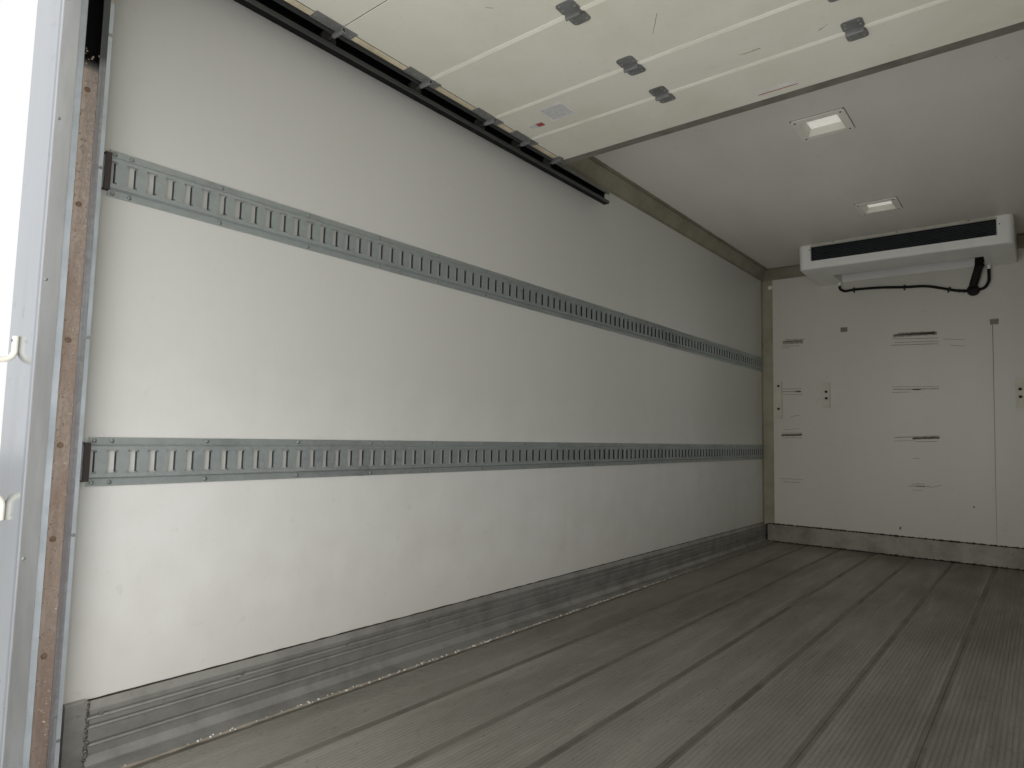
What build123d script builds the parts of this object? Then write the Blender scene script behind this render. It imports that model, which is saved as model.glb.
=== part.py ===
"""Insulated refrigerated truck body, off its chassis, standing on its two long sills.

Frame: +X forward (towards the cab), +Y left, +Z up, millimetres.
The origin is at the bottom centre of the whole body, midway between the dock bumpers' faces
and the front of the condensing unit, at the underside of the long sills.
"""
import math
import os

from build123d import *

# Body: outside length and width of the panels, inside clear height
BODY_L = 5486.0
BODY_W = 2438.0
INSIDE_H = 2374.0

# Panel and floor thicknesses
WALL_T = 76.0
FRONT_T = 76.0
ROOF_T = 89.0
SLAB_T = 78.0
PLANK_T = 32.0
PLANK_PITCH = 254.0
PLANK_SEAM = 30.0
PLANK_GAP = 0.4
SEAM_W = 26.0
SEAM_DEEP = 2.5

# Under-structure
SILL_H = 152.0
SILL_W = 52.0
SILL_T = 9.0
SILL_SPACING = 864.0
SILL_SETBACK = 60.0
SHEAR_HOLE_R = 8.5
SHEAR_DX = 150.0
SHEAR_DZ = 60.0
SHEAR_X = (900.0, -1100.0)
BEAM_H = 76.0
BEAM_W = 60.0
BEAM_WEB = 6.0
BEAM_FLANGE = 7.0
BEAM_PITCH = 305.0

# Rear frame round the doorway
FRAME_D = 152.0
POST_W = 203.0
HEADER_H = 354.0
REVEAL = 41.0
REVEAL_R = 7.0
JAMB_D = 15.0
JAMB_T = 6.0
JAMB_INSET = 2.0
LINING_W = 9.0

# Roller track: C section, its lips towards the doorway
TRACK_H = 64.0
TRACK_D = 34.0
TRACK_T = 2.5
TRACK_LIP = 15.0
TRACK_LIP_GAP = 44.0
TRACK_X = 86.0
TRACK_DOWN = 187.0
TRACK_R = 240.0
TRACK_PAST = 492.0
TRACK_FOOT = 20.0
CLIP_UP = (180.0, 900.0, 1600.0)
ARM_BACK = (480.0, 1100.0, 1800.0, 2500.0)
ARM_W = 40.0
ARM_T = 3.0
ARM_RISE = 40.0
ARM_FOOT = 10.0

# Overhead door, open: heights of its sections from the top one to the bottom one
SECTION_SHARE = (0.1582, 0.1224, 0.1832, 0.1949, 0.1910, 0.1503)
DOOR_OVER = 22.0
DOOR_PARK = 81.0
DOOR_LAP = 12.0
SECTION_T = 36.0
SECTION_GAP = 2.0
STILE_W = 30.0
SEAL_H = 22.0
TOP_SEAL_H = 50.0
HINGE_DROP = 12.0
HINGE_Y = 340.0
HINGE_L = 122.0
HINGE_W = 64.0
HINGE_PLATE = 3.0
KNUCKLE_R = 7.0
KNUCKLE_W = 54.0
LEAF_NECK = 6.0
LEAF_FLARE = 5.0
LEAF_R = 14.0
END_LEAF = (104.0, 56.0)
END_HINGE_IN = 12.0
END_HINGE_OUT = 14.0
END_PLATE = 36.0
SLEEVE_R = 9.0
STEM_R = 5.5
STEM_INSET = 4.0
ROLLER_CLEAR = 0.3
ROLLER_W = 14.0
BOTTOM_ROLLER = 40.0
TOP_ROLLER = 80.0
FIT = 0.2

# Counterbalance behind the header
SHAFT_X = 112.0
SHAFT_UP = 72.0
SHAFT_R = 12.5
SHAFT_IN = 31.0
DRUM_R = 55.0
DRUM_W = 70.0
DRUM_INSET = 40.0
COIL_R = 30.0
COIL_SPAN = (90.0, 640.0)
PLATE_INSET = 20.0
PLATE_HALF = 32.0
PLATE_T = 4.0

# Linings and trims inside
KICK_H = 156.0
KICK_T = 19.0
KICK_TOE = 12.0
KICK_TOE_H = (7.0, 26.0)
KICK_GROOVES = ((54.0, 60.0), (98.0, 103.0), (121.0, 127.0))
KICK_GROOVE_D = 5.0
KICK_GROOVE_BEVEL = 1.5
KICK_RIDGE = 3.0
KICK_TOP = 18.0
KICK_GAP = 50.0
KICK_COVER = (20.0, 164.0)
KICK_COVER_R = 4.0
KICK_COVER_GAP = 1.0
FRONT_KICK_H = 150.0
FRONT_KICK_T = 6.0
FRONT_KICK_BEVEL = 4.0
COVE_H = 92.0
COVE_W = 74.0
COVE_T = 4.0
COVE_LIP = 16.0
COVE_TOE = 22.0
COVE_TOE_H = 12.0
COVE_END = 6.0
TRIM_W = 90.0
TRIM_LEG = 34.0
TRIM_T = 3.0
RAIL_W = 127.0
RAIL_Z = (764.0, 1532.0)
RAIL_START = 168.0
RAIL_STOP = 36.0
RAIL_FLANGE_T = 3.0
RAIL_CROWN_HALF = 40.0
RAIL_PROUD = 12.0
RAIL_SLOPE = 5.0
RAIL_SHEET = 2.5
SLOT_H = 60.0
SLOT_W = 20.0
SLOT_END_W = 27.0
SLOT_END_H = 6.0
SLOT_PITCH = 50.8
SLOT_FIRST = 3.0
RAIL_STOP_GAP = 1.0
RAIL_STOP_HALF = 50.0
RAIL_STOP_D = 20.0

# Ceiling lights, by their share of the body's length from the rear face
LIGHT_AT = (0.5106, 0.7592)
LIGHT_SIZE = 235.0
LIGHT_RIM = 34.0
LIGHT_DROP = 8.0
LIGHT_R = 14.0
LIGHT_DEEP = 44.0
LENS_T = 6.0
LENS_UP = 24.0
LENS_HALF = 68.0
FUNNEL_T = 1.5

# Bulkhead brackets: distance in from the left wall, height of the middle above the floor,
# length, and the places of the two holes from the middle
BRACKETS = ((137.0, 1214.0, 314.0, (-72.0, 127.0)), (521.0, 1253.0, 208.0, (-27.0, 27.0)),
            (1797.0, 1240.0, 207.0, (-27.0, 27.0)))
BRACKET_W = 56.0
BRACKET_D = 16.0
BRACKET_T = 3.0
BRACKET_HOLE_R = 12.0

# Small plates higher on the bulkhead: distance in from the left wall, height, width, depth
HANGERS = ((662.0, 1792.0, 52.0, 4.0), (1662.0, 1764.0, 50.0, 14.0))
HANGER_H = 38.0
HANGER_LIP = 12.0

# Evaporator under the ceiling at the bulkhead
EVAP_HALF = 668.0
EVAP_DEPTH = 605.0
EVAP_FACE_H = 186.0
EVAP_FALL = 10.0
EVAP_T = 6.0
EVAP_R = 40.0
EVAP_EDGE_R = 14.0
EVAP_LEAN = 14.0
GRILLE_HALF = 575.0
GRILLE_H = 106.0
GRILLE_UP = 62.0
GRILLE_BACK = 12.0
BAR_W = 8.0
BAR_D = 12.0
BAR_BEHIND = 14.0
LOUVRES = 9
LOUVRE_D = 24.0
LOUVRE_T = 2.5
LOUVRE_TURN = 24.0
INTAKE_HALF = 486.0
INTAKE_D = 312.0
INTAKE_UP = 82.0
INTAKE_LIP = 4.0
SHROUD_T = 5.0
RING_W = 10.0
EVAP_FAN_R = 118.0
EVAP_FAN_PITCH = 320.0
SPOUT_R = 14.0
SPOUT_Y = 500.0
SPOUT_L = 26.0
SPOUT_BACK = 34.0
SPOUT_WALL = 3.0

# Condensing unit on the nose
COND_W = 1500.0
COND_H = 600.0
COND_D = 460.0
COND_T = 6.0
COND_DOWN = 40.0
COND_R = 60.0
COND_FAN_R = 190.0
COND_FAN_IN = 350.0
COND_FAN_UP = 352.0
COND_PLENUM = 60.0
SLOT_IN = 110.0
SLOT_LOW = 50.0
SLOT_TALL = 80.0
SLAT_D = 18.0
SLAT_TURN = 28.0
COND_LOUVRES = 4
SHROUD_UP = 150.0
GUARD_WIRE = 6.0
GUARD_T = 5.0
GUARD_PITCH = 34.0
GUARD_RINGS = 6
GUARD_SPOKES = 4

# Fans: hub and chord by their share of the fan's radius
FAN_CLEAR = 8.0
HUB_SHARE = 0.26
CHORD_SHARE = 0.62
BLADES = 5
BLADE_T = 3.0
BLADE_TURN = 28.0
SPINDLE_R = 6.0
SPINDLE_FIT = 0.06
EVAP_FAN_D = 26.0
COND_FAN_D = 34.0
MOTOR_L = 44.0
MOTOR_ARM_W = 14.0
MOTOR_ARM_T = 8.0
ARM_PAST = 5.0

# Outside trims and fittings
RAIL_SKIN = 4.0
ROOF_RAIL_H = 120.0
ROOF_RAIL_W = 90.0
BASE_RAIL_H = 60.0
BUMPER_D = 70.0
BUMPER_W = 110.0
BUMPER_H = 160.0
BUMPER_UP = 8.0
BUMPER_R = 10.0
HANDLE_R = 7.0
HANDLE_SPAN = 320.0
HANDLE_STAND = 58.0
HANDLE_MID = 849.0
HANDLE_IN = 85.0
HANDLE_BEND = 24.0
HANDLE_FOOT = 58.0
HANDLE_FLAT = 1.0
LAMP_D = 16.0
STOP_LAMP = (165.0, 58.0)
STOP_IN = (319.0, 519.0)
MARKER = (64.0, 24.0)
MARKER_IN = 119.0
MARKER_MID = 180.0
NOSE_MARKER_IN = 219.0
SIDE_MARKER_IN = 420.0
SIDE_MARKER_D = 10.0

# Drain hoses and the insulated pipe on the bulkhead
HOSE_R = 11.0
PIPE_R = 27.0
PIPE_LEAN = 45.0
PIPE_BEND = 270.0
HOSE_OFF = 16.0
PLUG_R = 36.0
PLUG_L = 34.0
PLUG_AT = (-402.0, 367.0)
CLIP_Y = (399.0, 39.0, -250.0)
CLIP_W = 12.0
CLIP_RING = 3.2
CLIP_FIT = 0.5
CLIP_FOOT = 46.0
CLIP_FOOT_T = 2.2
OUT = "parts"

# Places worked out from the sizes
HALF_OUT = BODY_W / 2
HALF_IN = HALF_OUT - WALL_T
REAR = BUMPER_D - (BUMPER_D + BODY_L + COND_D) / 2
FRONT = REAR + BODY_L
BULKHEAD = FRONT - FRONT_T
BEAM_Z = SILL_H
SLAB_Z = BEAM_Z + BEAM_H
PLANK_Z = SLAB_Z + SLAB_T
FLOOR = PLANK_Z + PLANK_T
CEIL = FLOOR + INSIDE_H
TOP = CEIL + ROOF_T
BAY_X = REAR + FRAME_D
DOOR_HALF = HALF_OUT - POST_W
HEAD_Z = CEIL - HEADER_H
AXLE_Z = CEIL - TRACK_DOWN
TRACK_LIP_Y = DOOR_HALF + TRACK_LIP_GAP
TRACK_WEB_Y = TRACK_LIP_Y + TRACK_D
ROLLER_R = TRACK_H / 2 - TRACK_T - ROLLER_CLEAR
DOOR_H = INSIDE_H - HEADER_H + DOOR_OVER
DOOR_FRONT = DOOR_H + DOOR_PARK
TRACK_END = DOOR_FRONT + TRACK_PAST
STILE_Y = DOOR_HALF + DOOR_LAP
SECTION_HALF = STILE_Y - STILE_W
END_HINGE_Y = (SECTION_HALF - END_HINGE_IN, STILE_Y + END_HINGE_OUT)
SHAFT_HALF = DOOR_HALF - SHAFT_IN
LIGHT_X = [REAR + share * BODY_L for share in LIGHT_AT]
EVAP_X = BULKHEAD - EVAP_DEPTH
EVAP_LOW = CEIL - EVAP_FACE_H
INTAKE_X1 = BULKHEAD - EVAP_T
INTAKE_X0 = BULKHEAD - INTAKE_D
INTAKE_MID = (INTAKE_X0 + INTAKE_X1) / 2
SHROUD_Z = EVAP_LOW + INTAKE_UP
EVAP_FAN_Z = SHROUD_Z + 4 * SHROUD_T
COND_X = FRONT + COND_D
COND_Z0 = TOP - COND_DOWN - COND_H
COND_FAN_Y = COND_W / 2 - COND_FAN_IN
COND_FAN_Z = COND_Z0 + COND_FAN_UP
COND_PLATE_X = COND_X - COND_T - COND_PLENUM
PLUG_Y, PLUG_Z = PLUG_AT[0], CEIL - PLUG_AT[1]


def block(x0, x1, y0, y1, z0, z1):
    """A box from its lowest to its highest corner."""
    centre = ((x0 + x1) / 2, (y0 + y1) / 2, (z0 + z1) / 2)
    return Pos(*centre) * Box(x1 - x0, y1 - y0, z1 - z0)


def along_x(points, x0, x1):
    """A (y, z) outline drawn out from x0 to x1."""
    face = Pos(x0, 0, 0) * (Plane.YZ * Polygon(*points, align=None))
    return extrude(face, amount=x1 - x0, dir=(1, 0, 0))


def along_y(points, y0, y1):
    """An (x, z) outline drawn out from y0 to y1."""
    face = Pos(0, y0, 0) * (Plane.XZ * Polygon(*points, align=None))
    return extrude(face, amount=y1 - y0, dir=(0, 1, 0))


def along_z(points, z0, z1):
    """An (x, y) outline drawn out from z0 to z1."""
    face = Pos(0, 0, z0) * Polygon(*points, align=None)
    return extrude(face, amount=z1 - z0, dir=(0, 0, 1))


def rod_x(x0, x1, y, z, r):
    return Pos((x0 + x1) / 2, y, z) * Rot(0, 90, 0) * Cylinder(r, x1 - x0)


def rod_y(x, y0, y1, z, r):
    return Pos(x, (y0 + y1) / 2, z) * Rot(90, 0, 0) * Cylinder(r, y1 - y0)


def rod_z(x, y, z0, z1, r):
    return Pos(x, y, (z0 + z1) / 2) * Cylinder(r, z1 - z0)


def flip(shape):
    """The same piece on the other side of the body."""
    return mirror(shape, about=Plane.XZ)


def both(shape):
    return [shape, flip(shape)]


def solids_of(pieces):
    found = []
    for piece in pieces if isinstance(pieces, list) else [pieces]:
        found.extend(piece.solids())
    return found


def save(node, pieces):
    export_step(Compound(children=solids_of(pieces)), os.path.join(OUT, node + ".step"))


# Panels and floor

def floor_slab():
    return block(BAY_X, BULKHEAD, -HALF_IN, HALF_IN, SLAB_Z, PLANK_Z)


def floor_planks():
    """Planks along the floor, each with half a shallow seam strip at both edges."""
    seams = [PLANK_SEAM + i * PLANK_PITCH for i in range(-20, 21)]
    edges = [-HALF_IN] + [y for y in seams if abs(y) < HALF_IN] + [HALF_IN]
    planks = []
    for low_edge, high_edge in zip(edges, edges[1:]):
        y0 = low_edge + (PLANK_GAP / 2 if low_edge > -HALF_IN else 0)
        y1 = high_edge - (PLANK_GAP / 2 if high_edge < HALF_IN else 0)
        low = FLOOR - SEAM_DEEP
        step = SEAM_W / 2
        profile = [(y0, PLANK_Z), (y1, PLANK_Z), (y1, low), (y1 - step, low), (y1 - step, FLOOR),
                   (y0 + step, FLOOR), (y0 + step, low), (y0, low)]
        planks.append(along_x(profile, BAY_X, BULKHEAD))
    return planks


def side_wall():
    return block(BAY_X, BULKHEAD, HALF_IN, HALF_OUT, SLAB_Z, CEIL)


def front_wall():
    return block(BULKHEAD, FRONT, -HALF_IN, HALF_IN, SLAB_Z, CEIL)


def roof():
    """Roof panel with a recess for each ceiling light."""
    panel = block(BAY_X, FRONT, -HALF_OUT, HALF_OUT, CEIL, TOP)
    inner = LIGHT_SIZE / 2 - LIGHT_RIM / 2
    for x in LIGHT_X:
        panel -= block(x - inner, x + inner, -inner, inner, CEIL, CEIL + LIGHT_DEEP)
    return panel


def front_corner():
    """Corner extrusion, its outer edge rounded to the wall thickness."""
    post = block(BULKHEAD, FRONT, HALF_IN, HALF_OUT, SLAB_Z, CEIL)
    edge = post.edges().filter_by(Axis.Z).sort_by(lambda e: e.center().X + e.center().Y)[-1]
    return fillet(edge, WALL_T * 0.85)


# Rear frame

def rear_post():
    """Post with a deep outer leg on the wall's end and a thin inner leg beside the doorway."""
    profile = [(REAR, DOOR_HALF), (REAR, HALF_OUT), (BAY_X, HALF_OUT), (BAY_X, HALF_IN),
               (REAR + REVEAL, HALF_IN), (REAR + REVEAL, DOOR_HALF)]
    post = along_z(profile, FLOOR, CEIL)
    edges = post.edges().filter_by(Axis.Z).filter_by_position(Axis.X, REAR - 1, REAR + 1)
    return fillet(edges, REVEAL_R)


def rear_header():
    """Header: a deep beam in line with the roof and a thin leg down to the doorway."""
    beam = block(REAR, BAY_X, -HALF_OUT, HALF_OUT, CEIL, TOP)
    leg = block(REAR, REAR + REVEAL, -DOOR_HALF, DOOR_HALF, HEAD_Z, CEIL)
    header = beam + leg
    low = header.edges().filter_by(Axis.Y).filter_by_position(Axis.Z, HEAD_Z - 1, HEAD_Z + 1)
    return fillet(low.sort_by(Axis.X)[0], REVEAL_R)


def rear_sill():
    """Sill under the doorway, its rear top edge rounded."""
    sill = block(REAR, BAY_X, -HALF_OUT, HALF_OUT, BEAM_Z, FLOOR)
    edge = sill.edges().filter_by(Axis.Y).filter_by_position(Axis.Z, FLOOR - 1, FLOOR + 1)
    return fillet(edge.sort_by(Axis.X)[0], REVEAL_R)


def jamb_strips():
    """Strips that the closed door seals on, and the lining between each track and wall."""
    x0 = REAR + REVEAL
    inner = DOOR_HALF + JAMB_INSET
    side = block(x0, x0 + JAMB_D, inner, inner + JAMB_T, FLOOR, HEAD_Z + JAMB_INSET)
    head_z = HEAD_Z + JAMB_INSET
    head = block(x0, x0 + JAMB_D, -inner - JAMB_T, inner + JAMB_T, head_z, head_z + JAMB_T)
    x1 = REAR + TRACK_X + TRACK_H / 2 + FIT
    lining = block(x1, x1 + LINING_W, TRACK_LIP_Y, HALF_IN, FLOOR, AXLE_Z - TRACK_R)
    return both(side) + both(lining) + [head]


# Overhead door and its tracks

def track_outline(u, v):
    """C section: v across it, u from the lips (0) to the back of the web."""
    half = TRACK_H / 2
    slot = half - TRACK_LIP
    t = TRACK_T
    return [(u(0), v(slot)), (u(0), v(half)), (u(TRACK_D), v(half)), (u(TRACK_D), v(-half)),
            (u(0), v(-half)), (u(0), v(-slot)), (u(t), v(-slot)), (u(t), v(t - half)),
            (u(TRACK_D - t), v(t - half)), (u(TRACK_D - t), v(half - t)), (u(t), v(half - t)),
            (u(t), v(slot))]


def door_track():
    """Vertical run in the jamb pocket, quarter bend, and run forward under the ceiling."""
    x = REAR + TRACK_X
    bend_z = AXLE_Z - TRACK_R
    upright = [(x + b, a) for a, b in track_outline(lambda u: TRACK_LIP_Y + u, lambda v: v)]
    level = [(a, AXLE_Z - b) for a, b in track_outline(lambda u: TRACK_LIP_Y + u, lambda v: v)]
    lower = along_z(upright, FLOOR + TRACK_FOOT, bend_z)
    upper = along_x(level, x + TRACK_R, REAR + TRACK_END)
    section = Pos(0, 0, bend_z) * Polygon(*upright, align=None)
    bend = revolve(section, Axis((x + TRACK_R, 0, bend_z), (0, 1, 0)), 90)
    return lower + bend + upper


def track_brackets():
    """Blocks that hold the upright runs in the jambs, and angles from the level runs to the walls."""
    x = REAR + TRACK_X
    half, t = ARM_W / 2, ARM_T
    pieces = []
    for up in CLIP_UP:
        z = FLOOR + up
        pieces.append(block(x - half, x + half, TRACK_WEB_Y, HALF_IN, z - half, z + half))
    z0, z1 = AXLE_Z - half, AXLE_Z + ARM_RISE
    for back in ARM_BACK:
        x0, x1 = REAR + back - half, REAR + back + half
        tab = block(x0, x1, TRACK_WEB_Y, TRACK_WEB_Y + t, z0, z1)
        arm = block(x0, x1, TRACK_WEB_Y + t, HALF_IN - t, z1 - t, z1)
        foot = block(x0, x1, HALF_IN - t, HALF_IN, AXLE_Z + ARM_FOOT, z1)
        pieces.append(tab + arm + foot)
    return [side for piece in pieces for side in both(piece)]


def section_heights():
    return [share * DOOR_H for share in SECTION_SHARE]


def bottom_tilt():
    """Tilt of the lowest section, whose bottom rollers stand in the track's bend."""
    heights = section_heights()
    joint_x = REAR + DOOR_FRONT - sum(heights[:-1])
    reach = heights[-1] - BOTTOM_ROLLER
    cx = REAR + TRACK_X + TRACK_R - joint_x
    cz = -TRACK_R
    span = math.hypot(cx, cz)
    corner = math.acos((span ** 2 + reach ** 2 - TRACK_R ** 2) / (2 * span * reach))
    to_centre = math.atan2(-cz, -cx)
    return math.degrees(to_centre - corner)


def section_frames():
    """One entry per section: its front line (x), its height, and its tilt in degrees."""
    rows = []
    x = REAR + DOOR_FRONT
    heights = section_heights()
    for height in heights:
        tilt = bottom_tilt() if height is heights[-1] else 0.0
        rows.append((x, height, tilt))
        x -= height
    return rows


def placed(shape, x, tilt):
    """Sets a piece drawn back from the line x = 0, z = 0 on the hinge line at x, tilted down."""
    return Pos(x, 0, AXLE_Z) * Rot(0, -tilt, 0) * shape


def section_slices(y0, y1):
    """One block per section between y0 and y1, shortened for the joints and the end seals."""
    pieces = []
    rows = section_frames()
    for row in rows:
        x, height, tilt = row
        front = TOP_SEAL_H if row is rows[0] else SECTION_GAP / 2
        back = SEAL_H if row is rows[-1] else SECTION_GAP / 2
        piece = block(back - height, -front, y0, y1, HINGE_DROP, HINGE_DROP + SECTION_T)
        pieces.append(placed(piece, x, tilt))
    return pieces


def door_sections():
    return section_slices(-SECTION_HALF, SECTION_HALF)


def door_stiles():
    """Edge channels that close the sections' ends."""
    return [side for piece in section_slices(SECTION_HALF, STILE_Y) for side in both(piece)]


def door_seals():
    """Bulb seals on the door's top and bottom edges."""
    rows = section_frames()
    z0, z1 = HINGE_DROP, HINGE_DROP + SECTION_T
    x, height, tilt = rows[0]
    top = placed(block(-TOP_SEAL_H, 0, -STILE_Y, STILE_Y, z0, z1), x, tilt)
    x, height, tilt = rows[-1]
    bottom = placed(block(-height, SEAL_H - height, -STILE_Y, STILE_Y, z0, z1), x, tilt)
    return [top, bottom]


def hinge_leaf(y0, y1, back):
    """One leaf of an end hinge, flat on a section's inner face, on one side of its line."""
    x0, x1 = (-END_LEAF[0], -FIT) if back else (FIT, END_LEAF[1])
    return block(x0, x1, y0, y1, HINGE_DROP - HINGE_PLATE, HINGE_DROP)


def necked_leaf(y, back):
    """Leaf of a centre hinge: narrow at the knuckle, flared out, its far corners round."""
    side = -1 if back else 1
    narrow, wide = KNUCKLE_W / 2, HINGE_W / 2
    neck, full = side * LEAF_NECK, side * (LEAF_NECK + LEAF_FLARE)
    near, far = side * FIT, side * HINGE_L / 2
    outline = [(near, y - narrow), (neck, y - narrow), (full, y - wide), (far, y - wide),
               (far, y + wide), (full, y + wide), (neck, y + narrow), (near, y + narrow)]
    leaf = along_z(outline, HINGE_DROP - HINGE_PLATE, HINGE_DROP)
    corners = leaf.edges().filter_by(Axis.Z).filter_by_position(Axis.X, far - 1, far + 1)
    return fillet(corners, LEAF_R)


def door_hinges():
    """Centre hinges and end hinges on every joint, with end brackets on the outer edges."""
    pieces = []
    rows = section_frames()
    for x, height, tilt in rows[1:]:
        for y in (-HINGE_Y, HINGE_Y):
            y0, y1 = y - KNUCKLE_W / 2, y + KNUCKLE_W / 2
            knuckle = rod_y(0, y0, y1, 0, KNUCKLE_R)
            lift = block(-KNUCKLE_R, KNUCKLE_R, y0, y1, 0, HINGE_DROP - HINGE_PLATE)
            front = placed(necked_leaf(y, False) + knuckle + lift, x, 0)
            rear_leaf = placed(necked_leaf(y, True), x, tilt)
            pieces += [front, rear_leaf - front]
        pieces += end_hinge(x, tilt)
    x, height, tilt = rows[0]
    pieces += end_bracket(x - TOP_ROLLER, 0)
    x, height, tilt = rows[-1]
    reach = height - BOTTOM_ROLLER
    turn = math.radians(tilt)
    pieces += end_bracket(x - reach * math.cos(turn), tilt, -reach * math.sin(turn))
    return pieces


def sleeve():
    y0, y1 = END_HINGE_Y
    tube = rod_y(0, y0, y1, 0, SLEEVE_R)
    saddle = block(-SLEEVE_R, SLEEVE_R, y0, STILE_Y, 0, HINGE_DROP - HINGE_PLATE)
    return tube + saddle - rod_y(0, y0 - 1, y1 + 1, 0, STEM_R + FIT)


def end_hinge(x, tilt):
    y0 = END_HINGE_Y[0]
    front = placed(hinge_leaf(y0, STILE_Y, False) + sleeve(), x, 0)
    rear_leaf = placed(hinge_leaf(y0, STILE_Y, True), x, tilt) - front
    return both(front) + both(rear_leaf)


def end_bracket(x, tilt, drop=0.0):
    plate = block(-END_PLATE / 2, END_PLATE / 2, END_HINGE_Y[0], STILE_Y,
                  HINGE_DROP - HINGE_PLATE, HINGE_DROP)
    return both(Pos(0, 0, drop) * placed(plate + sleeve(), x, tilt))


def roller_places():
    """(x, z) of every roller's axle on one side."""
    rows = section_frames()
    places = [(rows[0][0] - TOP_ROLLER, AXLE_Z)]
    places += [(row[0], AXLE_Z) for row in rows[1:]]
    x, height, tilt = rows[-1]
    reach = height - BOTTOM_ROLLER
    turn = math.radians(tilt)
    places.append((x - reach * math.cos(turn), AXLE_Z - reach * math.sin(turn)))
    return places


def door_rollers():
    """Rollers inside the tracks on stems that lie in the hinge sleeves."""
    pieces = []
    mid = TRACK_LIP_Y + TRACK_D / 2
    for x, z in roller_places():
        wheel = rod_y(x, mid - ROLLER_W / 2, mid + ROLLER_W / 2, z, ROLLER_R)
        stem = rod_y(x, END_HINGE_Y[0] + STEM_INSET, mid, z, STEM_R)
        pieces += both(wheel + stem)
    return pieces


def counterbalance():
    """Torsion shaft with its coils and cable drums, in plates on the header's back."""
    x, z = REAR + SHAFT_X, CEIL - SHAFT_UP
    shaft = rod_y(x, -SHAFT_HALF, SHAFT_HALF, z, SHAFT_R)
    drum_y = SHAFT_HALF - DRUM_INSET
    for low, high, radius in ((*COIL_SPAN, COIL_R), (drum_y - DRUM_W, drum_y, DRUM_R)):
        shaft += rod_y(x, low, high, z, radius) + rod_y(x, -high, -low, z, radius)
    plates = []
    reach, t = PLATE_HALF, PLATE_T
    for y in (PLATE_INSET - SHAFT_HALF, 0.0, SHAFT_HALF - PLATE_INSET):
        plate = block(REAR + REVEAL, x + reach, y - t / 2, y + t / 2, z - reach, z + reach)
        plates.append(plate - rod_y(x, y - t, y + t, z, SHAFT_R + FIT))
    return [shaft] + plates


# Inside linings

def kick_profile():
    """(y, z) outline of the grooved scuff extrusion on the left wall, from the floor up."""
    wall = HALF_IN
    face = wall - KICK_T
    toe = face - KICK_TOE
    low, high = KICK_TOE_H
    points = [(wall, FLOOR), (toe, FLOOR), (toe, FLOOR + low), (face, FLOOR + high)]
    deep, bevel = face + KICK_GROOVE_D, KICK_GROOVE_BEVEL
    for low, high in KICK_GROOVES:
        ridge = FLOOR + low - 3 * bevel
        points += [(face, ridge - 2 * bevel), (face - KICK_RIDGE, ridge), (face, FLOOR + low),
                   (deep, FLOOR + low + bevel), (deep, FLOOR + high - bevel), (face, FLOOR + high)]
    top = FLOOR + KICK_H
    points += [(face, top - KICK_TOP), (wall - KICK_GROOVE_D, top), (wall, top)]
    return points


def kick_plates():
    """Scuff extrusions along both walls, and the plain covers over their rear ends."""
    deep, high = KICK_COVER
    x0, x1 = BAY_X + KICK_COVER_GAP, BAY_X + KICK_GAP
    cover = block(x0, x1 - FIT, HALF_IN - deep, HALF_IN, FLOOR, FLOOR + high)
    edge = cover.edges().filter_by(Axis.X).sort_by(lambda e: e.center().Z - e.center().Y)[-1]
    return both(along_x(kick_profile(), x1, BULKHEAD)) + both(fillet(edge, KICK_COVER_R))


def front_kick():
    half = HALF_IN - KICK_T - KICK_TOE - FIT
    x1, top = BULKHEAD, FLOOR + FRONT_KICK_H
    x0 = x1 - FRONT_KICK_T
    profile = [(x1, FLOOR), (x0, FLOOR), (x0, top - FRONT_KICK_BEVEL),
               (x0 + FRONT_KICK_BEVEL, top), (x1, top)]
    return along_y(profile, -half, half)


def cove_profile(wall):
    """(across, z) outline of the cove between a wall at the high side and the ceiling."""
    t = COVE_T
    toe = wall - COVE_W + COVE_TOE
    return [(wall, CEIL), (wall, CEIL - COVE_H), (wall - t, CEIL - COVE_H),
            (wall - t, CEIL - COVE_H + COVE_LIP), (toe, CEIL - COVE_TOE_H), (toe, CEIL - t),
            (wall - COVE_W, CEIL - t), (wall - COVE_W, CEIL)]


def coves():
    side = along_x(cove_profile(HALF_IN), BAY_X, BULKHEAD)
    half = HALF_IN - COVE_W - FIT
    ahead = along_y(cove_profile(BULKHEAD), EVAP_HALF + COVE_END, half)
    return both(side) + both(ahead)


def corner_trims():
    """Angles up the bulkhead's two inner corners."""
    x1, y1, t = BULKHEAD, HALF_IN, TRIM_T
    profile = [(x1, y1), (x1, y1 - TRIM_W), (x1 - t, y1 - TRIM_W), (x1 - t, y1 - t),
               (x1 - TRIM_LEG, y1 - t), (x1 - TRIM_LEG, y1)]
    trim = along_z(profile, FLOOR + KICK_H + FIT, CEIL - COVE_H - FIT)
    return both(trim)


def slot_outline():
    """Upright slot, wider at both ends."""
    outline = Rectangle(SLOT_W, SLOT_H)
    end = Rectangle(SLOT_END_W, SLOT_END_H)
    for side in (-1, 1):
        outline += Pos(0, side * (SLOT_H - SLOT_END_H) / 2) * end
    return outline


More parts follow.
